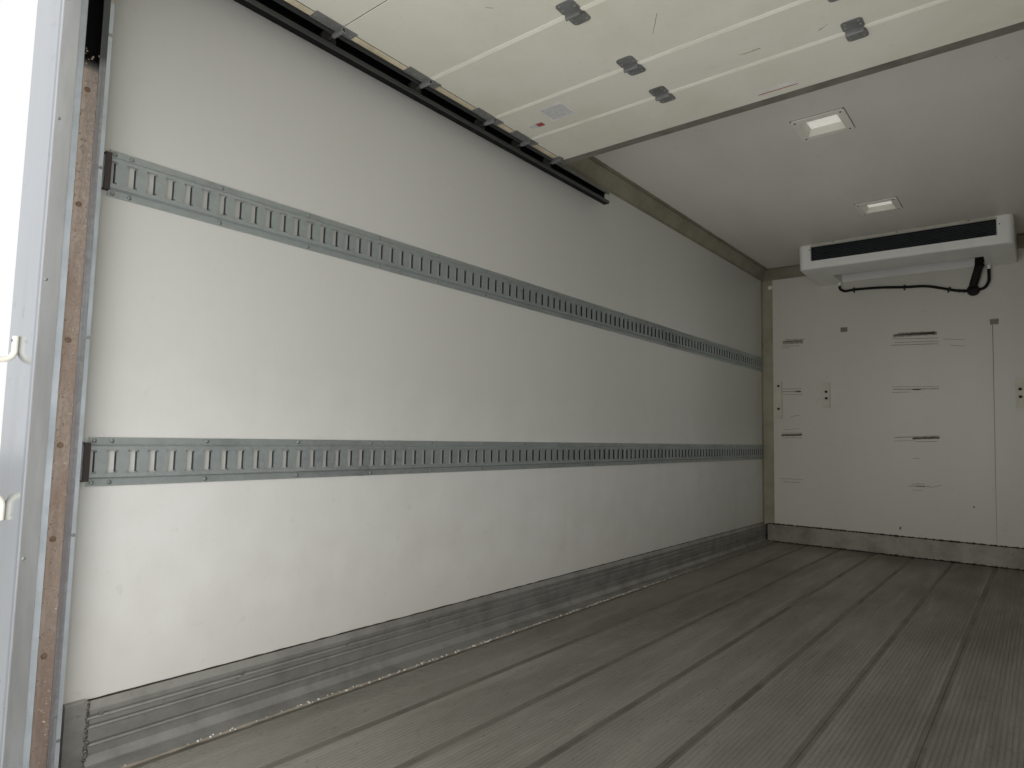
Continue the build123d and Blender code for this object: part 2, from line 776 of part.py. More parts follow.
def cargo_rail(z):
    """Slotted rail on the left wall: flat flanges, a raised crown, and a stop at its rear end."""
    x0, x1 = REAR + RAIL_START, BULKHEAD - RAIL_STOP
    wall, half, crown, foot = HALF_IN, RAIL_W / 2, RAIL_CROWN_HALF, RAIL_CROWN_HALF + RAIL_SLOPE
    flange, face, t = wall - RAIL_FLANGE_T, wall - RAIL_PROUD, RAIL_SHEET
    upper = [(face, crown), (flange, foot), (flange, half), (wall, half), (wall, foot),
             (face + t, crown - t / 2)]
    points = [(y, z + up) for y, up in upper] + [(y, z - up) for y, up in reversed(upper)]
    rail = along_x(points, x0, x1)
    count = int((x1 - x0 - 2 * SLOT_FIRST) // SLOT_PITCH) + 1
    slots = Sketch() + [Pos(x0 + SLOT_FIRST + i * SLOT_PITCH, z) * slot_outline()
                        for i in range(count)]
    cutter = extrude(Pos(0, face - t, 0) * (Plane.XZ * slots), amount=3 * t, dir=(0, 1, 0))
    back, end, up = BAY_X + RAIL_STOP_GAP, x0 - FIT, RAIL_STOP_HALF
    stop = block(back, end, wall - RAIL_STOP_D, wall, z - up, z + up)
    stop -= block(back - 1, end - t, wall - RAIL_STOP_D + t, wall + 1, z - up + t, z + up - t)
    return [rail - cutter, stop]


def cargo_rails():
    return [side for up in RAIL_Z for piece in cargo_rail(FLOOR + up) for side in both(piece)]


def funnel(x, half):
    """Four-sided funnel from the ceiling up to the lens, its foot of the given half width."""
    taper = math.degrees(math.atan((LIGHT_SIZE / 2 - LIGHT_RIM - LENS_HALF) / LENS_UP))
    return extrude(Pos(x, 0, CEIL) * Rectangle(2 * half, 2 * half), amount=LENS_UP, taper=taper)


def light_bezels():
    """Square bezel frames on the ceiling, each with a funnel up to its lens."""
    pieces = []
    half, inner = LIGHT_SIZE / 2, LIGHT_SIZE / 2 - LIGHT_RIM
    for x in LIGHT_X:
        rim = block(x - half, x + half, -half, half, CEIL - LIGHT_DROP, CEIL)
        rim = fillet(rim.edges().filter_by(Axis.Z), LIGHT_R)
        rim -= block(x - inner, x + inner, -inner, inner, CEIL - LIGHT_RIM, CEIL + 1)
        pieces.append(rim + (funnel(x, inner + FUNNEL_T) - funnel(x, inner)))
    return pieces


def light_lenses():
    """Lens plates up in the recesses, resting on the funnels."""
    inner, z = LIGHT_SIZE / 2 - LIGHT_RIM / 2 - FIT, CEIL + LENS_UP
    return [block(x - inner, x + inner, -inner, inner, z, z + LENS_T) for x in LIGHT_X]


def bulkhead_brackets():
    """Channel brackets on the bulkhead, two holes in each face."""
    pieces = []
    x0, t = BULKHEAD - BRACKET_D, BRACKET_T
    half = BRACKET_W / 2
    for inward, up, length, holes in BRACKETS:
        y, z = HALF_IN - inward, FLOOR + up
        low, high = z - length / 2, z + length / 2
        body = block(x0, BULKHEAD, y - half, y + half, low, high)
        body -= block(x0 + t, BULKHEAD + 1, y - half + t, y + half - t, low - 1, high + 1)
        for dz in holes:
            body -= rod_x(x0 - 1, x0 + t + 1, y, z + dz, BRACKET_HOLE_R)
        pieces.append(body)
    t = BRACKET_T
    for inward, up, width, deep in HANGERS:
        y0, y1, z = HALF_IN - inward - width / 2, HALF_IN - inward + width / 2, FLOOR + up
        plate = block(BULKHEAD - t, BULKHEAD, y0, y1, z - HANGER_H / 2, z + HANGER_H / 2)
        lip = block(BULKHEAD - deep, BULKHEAD, y0, y1, z + HANGER_H / 2 - HANGER_LIP, z + HANGER_H / 2)
        pieces.append(plate + lip)
    return pieces


# Fans

def fan(radius, depth):
    """Axial fan about +Z at the origin: hub with a spindle bore and pitched blades."""
    hub_r = radius * HUB_SHARE
    wheel = Cylinder(hub_r, depth)
    root = hub_r * 0.8
    disc = Cylinder(radius, depth * 4)
    blade = Rot(BLADE_TURN, 0, 0) * Box(radius * 1.2 - root, radius * CHORD_SHARE, BLADE_T)
    blade = Pos((radius * 1.2 + root) / 2, 0, 0) * blade & disc
    for i in range(BLADES):
        wheel += Rot(0, 0, i * 360 / BLADES) * blade
    return wheel - Cylinder(SPINDLE_R + SPINDLE_FIT, depth * 2)


def fan_carrier(radius, depth, down):
    """Motor behind the fan with its spindle, and arms whose legs reach down to the plate."""
    motor_z = depth / 2 + BLADE_T * 5
    top = motor_z + MOTOR_L
    arms = Pos(0, 0, motor_z + MOTOR_L / 2) * Cylinder(radius * HUB_SHARE * 0.9, MOTOR_L)
    low = BLADE_T - depth / 2
    arms += Pos(0, 0, (low + motor_z) / 2) * Cylinder(SPINDLE_R, motor_z - low)
    reach = radius + FAN_CLEAR + ARM_PAST
    w, t = MOTOR_ARM_W, MOTOR_ARM_T
    for i in range(3):
        arm = Pos(reach / 2, 0, top - t) * Box(reach, w, t)
        leg = Pos(reach, 0, (top - down) / 2 - t / 2) * Box(t, w, top - t + down)
        arms += Rot(0, 0, 30 + i * 120) * (arm + leg)
    return arms


# Evaporator

def evap_form(s):
    """Closed form of the housing, its front corners round, drawn in by s all round."""
    x0, x1, half = EVAP_X + s, BULKHEAD - s, EVAP_HALF - s
    side = [(x0, CEIL - s), (x0 + EVAP_LEAN, EVAP_LOW + s), (x1, EVAP_LOW - EVAP_FALL + s),
            (x1, CEIL - s)]
    form = along_y(side, -half, half)
    ends = [e for e in form.edges() if abs(e.center().Y) > half - 1]
    upright = [e for e in ends if e.center().X < x0 + EVAP_LEAN]
    return fillet(upright, EVAP_R - s)


def spout_places():
    return (-SPOUT_Y, SPOUT_Y)


def evap_housing():
    """Moulded housing: outlet slot in front, intake recess beneath, drain spouts at the back."""
    outer = evap_form(0.0)
    ends = [e for e in outer.edges() if abs(e.center().Y) > EVAP_HALF - 1]
    low_sides = [e for e in ends if e.length > EVAP_FACE_H * 2 and e.center().Z < EVAP_LOW + 1]
    shell = fillet(low_sides, EVAP_EDGE_R) - evap_form(EVAP_T)
    z0 = EVAP_LOW + GRILLE_UP
    shell -= block(EVAP_X - 1, EVAP_X + EVAP_R, -GRILLE_HALF, GRILLE_HALF, z0, z0 + GRILLE_H)
    half, low, deck = INTAKE_HALF, EVAP_LOW - EVAP_FACE_H, SHROUD_Z + SHROUD_T
    shell -= block(INTAKE_X0, INTAKE_X1, -half, half, low, EVAP_LOW + 2 * EVAP_T)
    shell -= block(INTAKE_X0, BULKHEAD + 1, -half, half, low, EVAP_LOW + INTAKE_LIP)
    side = [(INTAKE_X0 - EVAP_T, EVAP_LOW), (INTAKE_X1, EVAP_LOW), (INTAKE_X1, deck),
            (INTAKE_X0 - EVAP_T, deck)]
    walls = along_y(side, -half - EVAP_T, half + EVAP_T)
    shell += walls - block(INTAKE_X0, INTAKE_X1 + 1, -half, half, low, deck + 1)
    x, foot = BULKHEAD - SPOUT_BACK, EVAP_LOW - EVAP_FALL - SPOUT_L
    for y in spout_places():
        shell += rod_z(x, y, foot, EVAP_LOW, SPOUT_R)
        shell -= rod_z(x, y, foot - 1, EVAP_LOW - EVAP_FALL - EVAP_T, SPOUT_R - SPOUT_WALL)
    return shell


def evap_grille():
    """Outlet louvres between upright bars, set in the housing's slot."""
    z0, z1 = EVAP_LOW + GRILLE_UP + FIT, EVAP_LOW + GRILLE_UP + GRILLE_H - FIT
    half = GRILLE_HALF - FIT
    x0 = EVAP_X + GRILLE_BACK + BAR_BEHIND
    grille = block(x0, x0 + BAR_D, -half, BAR_W - half, z0, z1)
    for y in (-half / 3, half / 3 - BAR_W, half - BAR_W):
        grille += block(x0, x0 + BAR_D, y, y + BAR_W, z0, z1)
    pitch = (z1 - z0) / LOUVRES
    for i in range(LOUVRES):
        slat = Rot(0, LOUVRE_TURN, 0) * Box(LOUVRE_D, 2 * half, LOUVRE_T)
        grille += Pos(EVAP_X + GRILLE_BACK + LOUVRE_D / 2, 0, z0 + (i + 0.5) * pitch) * slat
    return grille


def evap_shroud():
    """Fan plate in the intake recess with its rings, motors and arms."""
    half, t = INTAKE_HALF - FIT, SHROUD_T
    shroud = block(INTAKE_X0 + FIT, INTAKE_X1 - FIT, -half, half, SHROUD_Z, SHROUD_Z + t)
    hole = EVAP_FAN_R + FAN_CLEAR
    for y in evap_fan_places():
        shroud -= rod_z(INTAKE_MID, y, SHROUD_Z - t, SHROUD_Z + 2 * t, hole)
        ring = Cylinder(hole + RING_W, t) - Cylinder(hole, 2 * t)
        shroud += Pos(INTAKE_MID, y, SHROUD_Z + 1.5 * t) * ring
        down = EVAP_FAN_Z - SHROUD_Z - t
        shroud += Pos(INTAKE_MID, y, EVAP_FAN_Z) * fan_carrier(EVAP_FAN_R, EVAP_FAN_D, down)
    return shroud


def evap_fan_places():
    return (-EVAP_FAN_PITCH, 0.0, EVAP_FAN_PITCH)


def evap_fan(y):
    return Pos(INTAKE_MID, y, EVAP_FAN_Z) * fan(EVAP_FAN_R, EVAP_FAN_D)


# Drain hoses and the insulated pipe on the bulkhead

# Each row: distance off the bulkhead, place across, distance under the ceiling
SPOUT_DOWN = EVAP_FACE_H + EVAP_FALL + SPOUT_L
LEFT_HOSE = ((SPOUT_BACK, SPOUT_Y, SPOUT_DOWN), (SPOUT_BACK, SPOUT_Y, SPOUT_DOWN + 24),
             (22.0, SPOUT_Y - 32, SPOUT_DOWN + 46), (HOSE_OFF, SPOUT_Y - 92, SPOUT_DOWN + 38),
             (HOSE_OFF, 290.0, 262.0), (HOSE_OFF, 165.0, 270.0), (HOSE_OFF, 40.0, 286.0),
             (HOSE_OFF, -100.0, 292.0), (HOSE_OFF, -205.0, 324.0), (HOSE_OFF, -300.0, 356.0),
             (HOSE_OFF, -368.0, 366.0))
RIGHT_HOSE = ((SPOUT_BACK, -SPOUT_Y, SPOUT_DOWN), (SPOUT_BACK, -SPOUT_Y, SPOUT_DOWN + 44),
              (26.0, 2 - SPOUT_Y, SPOUT_DOWN + 90), (20.0, 26 - SPOUT_Y, SPOUT_DOWN + 132),
              (HOSE_OFF, -436.0, 364.0))


def hose_line(rows):
    """Straight runs joined by the largest tangent arcs that the runs allow."""
    points = [Vector(BULKHEAD - off, y, CEIL - down) for off, y, down in rows]
    runs = [b - a for a, b in zip(points, points[1:])]
    radii = []
    for a, b in zip(runs, runs[1:]):
        turn = math.radians(a.get_angle(b))
        radii.append(0.45 * min(a.length, b.length) / math.tan(turn / 2))
    return FilletPolyline(*points, radius=radii), radii


def hose(rows, radius):
    path, radii = hose_line(rows)
    section = Plane(origin=path @ 0, z_dir=path % 0) * Circle(radius)
    tube = sweep(section, path=path)
    print("hose arcs", [round(r) for r in radii], "volume ratio",
          round(tube.volume / (math.pi * radius ** 2 * path.length), 4))
    return tube


def plug_rod(extra):
    return rod_x(BULKHEAD - PLUG_L - extra, BULKHEAD, PLUG_Y, PLUG_Z, PLUG_R + extra)


def drain_hoses():
    """Both hoses from their spouts to the plug, their ends shaped to it."""
    return [hose(rows, HOSE_R) - plug_rod(FIT) for rows in (LEFT_HOSE, RIGHT_HOSE)]


def pipe_bundle():
    """Insulated pipe from the deck of the intake recess down to the plug in the bulkhead."""
    x, y = BULKHEAD - PIPE_R - PLUG_L, PLUG_Y - PIPE_LEAN
    points = [(x, y, SHROUD_Z - FIT), (x, y, EVAP_LOW),
              (BULKHEAD - HOSE_OFF - SPOUT_L, PLUG_Y, PLUG_Z + PIPE_R)]
    path = FilletPolyline(*points, radius=PIPE_BEND)
    pipe = sweep(Plane(origin=path @ 0, z_dir=path % 0) * Circle(PIPE_R), path=path)
    return plug_rod(0) + pipe


def hose_clips():
    """Saddle clips that hold the left drain hose on the bulkhead."""
    pieces = []
    path = hose_line(LEFT_HOSE)[0]
    steps = [i / 400 for i in range(401)]
    gap = HOSE_OFF - HOSE_R - CLIP_FIT
    for y in CLIP_Y:
        at = min(steps, key=lambda u: abs((path @ u).Y - y))
        frame = Plane(origin=path @ at, x_dir=(1, 0, 0), z_dir=path % at)
        ring = Cylinder(HOSE_R + CLIP_RING, CLIP_W) - Cylinder(HOSE_R + CLIP_FIT, CLIP_W + 1)
        web = Pos(HOSE_OFF - gap / 2, 0, 0) * Box(gap, CLIP_W / 2, CLIP_W)
        foot = Pos(HOSE_OFF - CLIP_FOOT_T / 2, 0, 0) * Box(CLIP_FOOT_T, CLIP_FOOT, CLIP_W)
        pieces.append(frame * (ring + web + foot))
    return pieces


# Condensing unit

def cond_form(s):
    half = COND_W / 2 - s
    form = block(FRONT + s, COND_X - s, -half, half, COND_Z0 + s, COND_Z0 + COND_H - s)
    front_edges = form.edges().filter_by_position(Axis.X, COND_X - s - 1, COND_X - s + 1)
    return fillet(front_edges, COND_R - s)


def cond_fan_places():
    return (-COND_FAN_Y, COND_FAN_Y)


def cond_housing():
    """Housing shell open where the fans and the lower louvres are."""
    shell = cond_form(0.0) - cond_form(COND_T)
    for y in cond_fan_places():
        shell -= rod_x(COND_X - 2 * COND_T, COND_X + 1, y, COND_FAN_Z, COND_FAN_R + FAN_CLEAR)
    half, low = COND_W / 2 - SLOT_IN, COND_Z0 + SLOT_LOW
    shell -= block(COND_X - 2 * COND_T, COND_X + 1, -half, half, low, low + SLOT_TALL)
    return shell


def cond_grille():
    """Fan guards of rings and spokes, and the lower louvres, set in the front."""
    outer = COND_FAN_R + FAN_CLEAR - FIT
    guard = None
    for k in range(GUARD_RINGS):
        r = outer - k * GUARD_PITCH
        ring = Cylinder(r, GUARD_T) - Cylinder(r - GUARD_WIRE, 2 * GUARD_T)
        guard = ring if guard is None else guard + ring
    for k in range(GUARD_SPOKES):
        turn = (k + 0.5) * 180 / GUARD_SPOKES
        guard += Rot(0, 0, turn) * Box(2 * outer - GUARD_WIRE, GUARD_T, GUARD_T)
    x = COND_X - COND_T
    pieces = [Pos(x + GUARD_T / 2, y, COND_FAN_Z) * Rot(0, 90, 0) * guard
              for y in cond_fan_places()]
    half = COND_W / 2 - SLOT_IN - FIT
    z0, z1 = COND_Z0 + SLOT_LOW + FIT, COND_Z0 + SLOT_LOW + SLOT_TALL - FIT
    low = block(x - BAR_W, x + COND_T / 2, -half, BAR_W - half, z0, z1)
    for y in (-half / 2, -BAR_W / 2, half / 2 - BAR_W, half - BAR_W):
        low += block(x - BAR_W, x + COND_T / 2, y, y + BAR_W, z0, z1)
    pitch = (z1 - z0) / COND_LOUVRES
    for i in range(COND_LOUVRES):
        slat = Rot(0, -SLAT_TURN, 0) * Box(SLAT_D, 2 * half, LOUVRE_T)
        low += Pos(x - LOUVRE_T, 0, z0 + (i + 0.5) * pitch) * slat
    return pieces + [low]


def cond_shroud():
    """Fan plate behind the front with the motors and their arms."""
    x1 = COND_PLATE_X
    half = COND_W / 2 - COND_T - FIT
    shroud = block(x1 - SHROUD_T, x1, -half, half, COND_Z0 + SHROUD_UP,
                   COND_Z0 + COND_H - COND_T - FIT)
    for y in cond_fan_places():
        shroud -= rod_x(x1 - 2 * SHROUD_T, x1 + 1, y, COND_FAN_Z, COND_FAN_R + FAN_CLEAR)
        carrier = fan_carrier(COND_FAN_R, COND_FAN_D, 0.0)
        shroud += Pos(x1, y, COND_FAN_Z) * Rot(0, -90, 0) * carrier
    return shroud


def cond_fan(y):
    return Pos(COND_PLATE_X, y, COND_FAN_Z) * Rot(0, -90, 0) * fan(COND_FAN_R, COND_FAN_D)


# Under-structure and outside fittings

def long_sill():
    """Channel sill, its web outwards, drilled for the shear plates' bolts."""
    y = SILL_SPACING / 2
    h, w, t = SILL_H, SILL_W, SILL_T
    profile = [(y, 0), (y, h), (y - w, h), (y - w, h - t), (y - t, h - t), (y - t, t),
               (y - w, t), (y - w, 0)]
    sill = along_x(profile, BAY_X + SILL_SETBACK, FRONT - SILL_SETBACK)
    for x in SHEAR_X:
        for dx in (-SHEAR_DX / 2, SHEAR_DX / 2):
            for dz in (-SHEAR_DZ / 2, SHEAR_DZ / 2):
                sill -= rod_y(x + dx, y - t - 1, y + 1, h / 2 + dz, SHEAR_HOLE_R)
    return sill


def cross_members():
    """I beams across the body under the floor."""
    beams = []
    half = HALF_OUT - RAIL_SKIN
    x = BAY_X + BEAM_W / 2 + SILL_SETBACK
    w, web, fl = BEAM_W / 2, BEAM_WEB / 2, BEAM_FLANGE
    z0, z1 = BEAM_Z, BEAM_Z + BEAM_H
    while x < FRONT - BEAM_W / 2:
        profile = [(x - w, z0), (x + w, z0), (x + w, z0 + fl), (x + web, z0 + fl),
                   (x + web, z1 - fl), (x + w, z1 - fl), (x + w, z1), (x - w, z1),
                   (x - w, z1 - fl), (x - web, z1 - fl), (x - web, z0 + fl), (x - w, z0 + fl)]
        beams.append(along_y(profile, -half, half))
        x += BEAM_PITCH
    return beams


def base_rails():
    """Outer rails at the foot of both side walls."""
    y = HALF_OUT
    t = RAIL_SKIN
    z0 = BEAM_Z
    profile = [(y - t, z0), (y + t, z0), (y + t, SLAB_Z + BASE_RAIL_H), (y, SLAB_Z + BASE_RAIL_H),
               (y, SLAB_Z), (y - t, SLAB_Z)]
    return both(along_x(profile, BAY_X, BULKHEAD))


def roof_rails():
    """Outer rails capping the roof's side edges."""
    y, t = HALF_OUT, RAIL_SKIN
    profile = [(y, TOP - ROOF_RAIL_H), (y + t, TOP - ROOF_RAIL_H), (y + t, TOP + t),
               (y - ROOF_RAIL_W, TOP + t), (y - ROOF_RAIL_W, TOP), (y, TOP)]
    rail = along_x(profile, BAY_X, FRONT)
    top_edge = rail.edges().filter_by(Axis.X).sort_by(lambda e: e.center().Y + e.center().Z)[-1]
    return both(fillet(top_edge, t * 0.9))


def lamp(size, deep):
    """Oval lens on the plane z = 0, its length along Y."""
    return extrude(SlotOverall(*size, rotation=90), deep)


def rear_lamps():
    """Oval stop and tail lamps in the sill and small markers along the header."""
    pieces = []
    for inset in STOP_IN:
        for y in (inset - HALF_OUT, HALF_OUT - inset):
            pieces.append(Pos(REAR, y, (BEAM_Z + FLOOR) / 2) * Rot(0, -90, 0) * lamp(STOP_LAMP, LAMP_D))
    edge = HALF_OUT - MARKER_IN
    for y in (-edge, -MARKER_MID, 0.0, MARKER_MID, edge):
        pieces.append(Pos(REAR, y, CEIL + ROOF_T / 2) * Rot(0, -90, 0) * lamp(MARKER, LAMP_D))
    return pieces


def side_lamps():
    """Amber markers low on both sides and at the roof's front edge."""
    pieces = []
    z = SLAB_Z + BASE_RAIL_H / 2
    y = HALF_OUT + RAIL_SKIN
    for x in (REAR + SIDE_MARKER_IN, REAR + BODY_L / 2, FRONT - SIDE_MARKER_IN):
        lens = Pos(x, y, z) * Rot(-90, 0, 0) * extrude(SlotOverall(*MARKER), SIDE_MARKER_D)
        pieces += both(lens)
    edge = HALF_OUT - NOSE_MARKER_IN
    return pieces + both(Pos(FRONT, edge, CEIL + ROOF_T / 2) * Rot(0, 90, 0) * lamp(MARKER, LAMP_D))


def dock_bumpers():
    x0, z0 = REAR - BUMPER_D, BEAM_Z + BUMPER_UP
    pad = block(x0, REAR, HALF_OUT - BUMPER_W, HALF_OUT, z0, z0 + BUMPER_H)
    edges = pad.edges().filter_by_position(Axis.X, x0 - 1, x0 + 1)
    return both(fillet(edges, BUMPER_R))


def grab_handles():
    """Coated round bars on both rear posts, each end bent to lie flat along its post."""
    y, z = HALF_OUT - HANDLE_IN, FLOOR + HANDLE_MID
    half, r = HANDLE_SPAN / 2, HANDLE_R
    near, far, foot = REAR - r + HANDLE_FLAT, REAR - HANDLE_STAND, half + HANDLE_FOOT
    points = [(near, y, z + foot), (near, y, z + half), (far, y, z + half),
              (far, y, z - half), (near, y, z - half), (near, y, z - foot)]
    path = FilletPolyline(*points, radius=HANDLE_BEND)
    bar = sweep(Plane(origin=path @ 0, z_dir=path % 0) * Circle(r), path=path)
    return both(bar - block(REAR, REAR + r, y - r, y + r, z - foot - 1, z + foot + 1))


def build():
    os.makedirs(OUT, exist_ok=True)
    wall, post = side_wall(), rear_post()
    nodes = {
        "floor_slab": floor_slab(), "floor_planks": floor_planks(),
        "left_wall": wall, "right_wall": flip(wall), "front_wall": front_wall(), "roof": roof(),
        "front_corner_posts": both(front_corner()),
        "rear_post_left": post, "rear_post_right": flip(post),
        "rear_header": rear_header(), "rear_sill": rear_sill(), "jamb_strips": jamb_strips(),
        "door_tracks": both(door_track()), "track_brackets": track_brackets(),
        "door_sections": door_sections(), "door_stiles": door_stiles(),
        "door_seals": door_seals(), "door_hinges": door_hinges(),
        "door_rollers": door_rollers(), "counterbalance": counterbalance(),
        "side_kick_plates": kick_plates(), "front_kick_plate": front_kick(),
        "ceiling_coves": coves(), "inner_corner_trims": corner_trims(),
        "cargo_rails": cargo_rails(),
        "light_bezels": light_bezels(), "light_lenses": light_lenses(),
        "bulkhead_brackets": bulkhead_brackets(),
        "evap_housing": evap_housing(), "evap_grille": evap_grille(),
        "evap_shroud": evap_shroud(),
        "drain_hoses": drain_hoses(), "hose_clips": hose_clips(), "pipe_bundle": pipe_bundle(),
        "cond_housing": cond_housing(), "cond_grille": cond_grille(),
        "cond_shroud": cond_shroud(),
        "long_sills": both(long_sill()), "cross_members": cross_members(),
        "base_rails": base_rails(), "roof_rails": roof_rails(),
        "rear_lamps": rear_lamps(), "side_lamps": side_lamps(),
        "dock_bumpers": dock_bumpers(), "grab_handles": grab_handles(),
    }
    for side, y in zip(("right", "centre", "left"), evap_fan_places()):
        nodes["evap_fan_" + side] = evap_fan(y)
    for side, y in zip(("right", "left"), cond_fan_places()):
        nodes["cond_fan_" + side] = cond_fan(y)
    for node, pieces in nodes.items():
        save(node, pieces)


build()
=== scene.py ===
"""Looks of the insulated refrigerated truck body, standing on its two long sills.

Frame: +X forward (towards the cab), +Y left, +Z up, metres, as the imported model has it.
"""
import math

import bmesh
import bpy
import numpy as np
from mathutils import Matrix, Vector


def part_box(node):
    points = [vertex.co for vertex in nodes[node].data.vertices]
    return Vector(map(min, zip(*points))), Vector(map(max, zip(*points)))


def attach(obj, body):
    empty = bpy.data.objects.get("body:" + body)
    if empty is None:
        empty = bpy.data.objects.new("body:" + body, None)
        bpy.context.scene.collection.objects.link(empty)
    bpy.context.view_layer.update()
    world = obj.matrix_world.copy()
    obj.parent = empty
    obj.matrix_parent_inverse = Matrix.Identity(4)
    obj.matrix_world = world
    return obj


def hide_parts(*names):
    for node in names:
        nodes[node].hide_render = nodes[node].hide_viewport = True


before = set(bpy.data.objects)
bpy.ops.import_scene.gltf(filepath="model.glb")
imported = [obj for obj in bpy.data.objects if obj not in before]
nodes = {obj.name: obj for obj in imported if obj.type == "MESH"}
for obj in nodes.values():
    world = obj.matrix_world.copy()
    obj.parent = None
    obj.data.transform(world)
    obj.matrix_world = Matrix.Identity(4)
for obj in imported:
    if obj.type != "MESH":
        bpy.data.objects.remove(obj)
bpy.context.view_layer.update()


# Places read from the frame
WALL_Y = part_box("left_wall")[0].y
SIDE_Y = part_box("left_wall")[1].y
BULK_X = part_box("front_wall")[0].x
NOSE_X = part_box("front_wall")[1].x
BAY_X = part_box("left_wall")[0].x
REAR_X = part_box("rear_sill")[0].x
FLOOR_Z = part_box("floor_planks")[1].z
CEIL_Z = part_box("roof")[0].z
TOP_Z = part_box("roof")[1].z
DOOR_HALF = -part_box("rear_post_right")[1].y
HEADER_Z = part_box("rear_header")[0].z

# Heights on the door track: where it leaves the upright run, and its level run's upper lip
TRACK_LOW = 2.10
TRACK_LIP = 2.541


# Shapes: every one returns (points, faces), closed, for Piece.add

def quads(rows, cols):
    """Corner numbers of the cells of a grid whose columns join round."""
    r = np.arange(rows - 1)[:, None]
    c = np.arange(cols)[None, :]
    after = (c + 1) % cols
    low, high = r * cols, (r + 1) * cols
    return np.stack([low + c, low + after, high + after, high + c], -1).reshape(-1, 4).tolist()


def loft(rings):
    """Closed skin over rings of points: ring number by point number is the grid, flat ends."""
    rings = np.asarray(rings, float)
    rows, cols = rings.shape[:2]
    ends = [list(range(cols))[::-1], list(range((rows - 1) * cols, rows * cols))]
    return rings.reshape(-1, 3), quads(rows, cols) + ends


def prism_x(outline, x0, x1):
    """A (y, z) outline carried along X from x0 to x1."""
    outline = np.asarray(outline, float)
    ends = [np.column_stack([np.full(len(outline), x), outline]) for x in (x0, x1)]
    return loft(ends)


def prism_y(outline, y0, y1):
    """An (x, z) outline carried along Y from y0 to y1."""
    outline = np.asarray(outline, float)
    ends = [np.column_stack([outline[:, 0], np.full(len(outline), y), outline[:, 1]])
            for y in (y0, y1)]
    return loft(ends)


def turned(profile, sides):
    """Profile of (radius, height) carried round Z: point = (r cos a, r sin a, z)."""
    profile = np.asarray(profile, float)
    a = np.arange(sides) * 2 * math.pi / sides
    ring = np.stack([np.cos(a), np.sin(a), np.zeros(sides)], -1)
    return loft(ring[None] * profile[:, None, :1] + np.array([0, 0, 1.0]) * profile[:, None, 1:])


def dome(radius, height, sides):
    """Button head: radius falls as the cosine while height rises as the sine, up to a small flat."""
    rows, crown = 4, 0.92
    t = np.linspace(0, math.pi / 2 * crown, rows)
    return turned(np.column_stack([radius * np.cos(t), height * np.sin(t)]), sides)


def rounded(width, height, radius, steps):
    """Rectangle outline with quarter-circle corners, about its centre."""
    t = np.linspace(0, math.pi / 2, steps)
    out = []
    for k, (sx, sy) in enumerate(((1, 1), (-1, 1), (-1, -1), (1, -1))):
        cx, cy = sx * (width / 2 - radius), sy * (height / 2 - radius)
        a = t + k * math.pi / 2
        out.append(np.column_stack([cx + radius * np.cos(a), cy + radius * np.sin(a)]))
    return np.concatenate(out)


def plate(outline, thick, bevel):
    """Flat plate: the outline at the foot and below the edge, drawn in by the bevel on top."""
    outline = np.asarray(outline, float)
    centre = outline.mean(0)
    reach = np.abs(outline - centre).max()
    inner = centre + (outline - centre) * (1 - bevel / reach)
    levels = ((outline, 0.0), (outline, thick - bevel), (inner, thick))
    return loft([np.column_stack([ring, np.full(len(ring), z)]) for ring, z in levels])


# A direction that no tube's path follows
OFF_PATH = (0.13, 0.31, 0.94)


def tube(points, radius, sides):
    """Ring of radius r carried along a path, each ring square to the path there."""
    points = np.asarray(points, float)
    radius = np.broadcast_to(radius, len(points))
    way = np.gradient(points, axis=0)
    way /= np.linalg.norm(way, axis=1)[:, None]
    side = np.cross(way, OFF_PATH)
    side /= np.linalg.norm(side, axis=1)[:, None]
    up = np.cross(side, way)
    a = np.arange(sides) * 2 * math.pi / sides
    ring = np.cos(a)[None, :, None] * side[:, None] + np.sin(a)[None, :, None] * up[:, None]
    return loft(points[:, None] + ring * radius[:, None, None])


def copied(shape, places):
    """The shape at every place: its points shifted, its faces renumbered."""
    points, faces = shape
    size = len(points)
    shifted = points[None] + np.asarray(places, float)[:, None]
    return shifted.reshape(-1, 3), [[i + k * size for i in face]
                                    for k in range(len(places)) for face in faces]


def moved(shape, places, out=(0, 0, 1), up=(1, 0, 0)):
    """Copies of a shape drawn facing +Z, set at each place facing out, its +X along up."""
    points, faces = shape
    out, up = np.asarray(out, float), np.asarray(up, float)
    out = out / np.linalg.norm(out)
    up = up - out * (up @ out)
    same_line = np.linalg.norm(up) < 1e-6
    if same_line:
        up = np.array([0.0, 0.0, 1.0])
    up /= np.linalg.norm(up)
    turn = np.column_stack([up, np.cross(out, up), out])
    return copied((points @ turn.T, faces), np.atleast_2d(places))


class Piece:
    """Gathers shapes into one mesh object that rides on a body."""

    def __init__(self, name, material, slot, body="body"):
        self.name, self.material, self.slot, self.body = name, material, slot, body
        self.points, self.faces, self.count = [], [], 0

    def add(self, shape):
        """Takes a shape in; its faces' numbers go on from the points already there."""
        points, faces = shape
        self.points.append(points)
        self.faces += [[i + self.count for i in face] for face in faces]
        self.count += len(points)

    def done(self, smooth=None, replaces=()):
        """Makes the object; smooth is the angle in degrees from which an edge stays sharp."""
        mesh = bpy.data.meshes.new(self.name)
        mesh.from_pydata(np.concatenate(self.points).tolist(), [], self.faces)
        work = bmesh.new()
        work.from_mesh(mesh)
        bmesh.ops.recalc_face_normals(work, faces=work.faces)
        work.to_mesh(mesh)
        work.free()
        piece = bpy.data.objects.new(self.name, mesh)
        bpy.context.scene.collection.objects.link(piece)
        mesh.materials.append(self.material)
        if smooth:
            mesh.shade_smooth()
            mesh.set_sharp_from_angle(angle=math.radians(smooth))
        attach(piece, self.body)
        if replaces:
            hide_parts(*replaces)
        return piece


# Shader groups

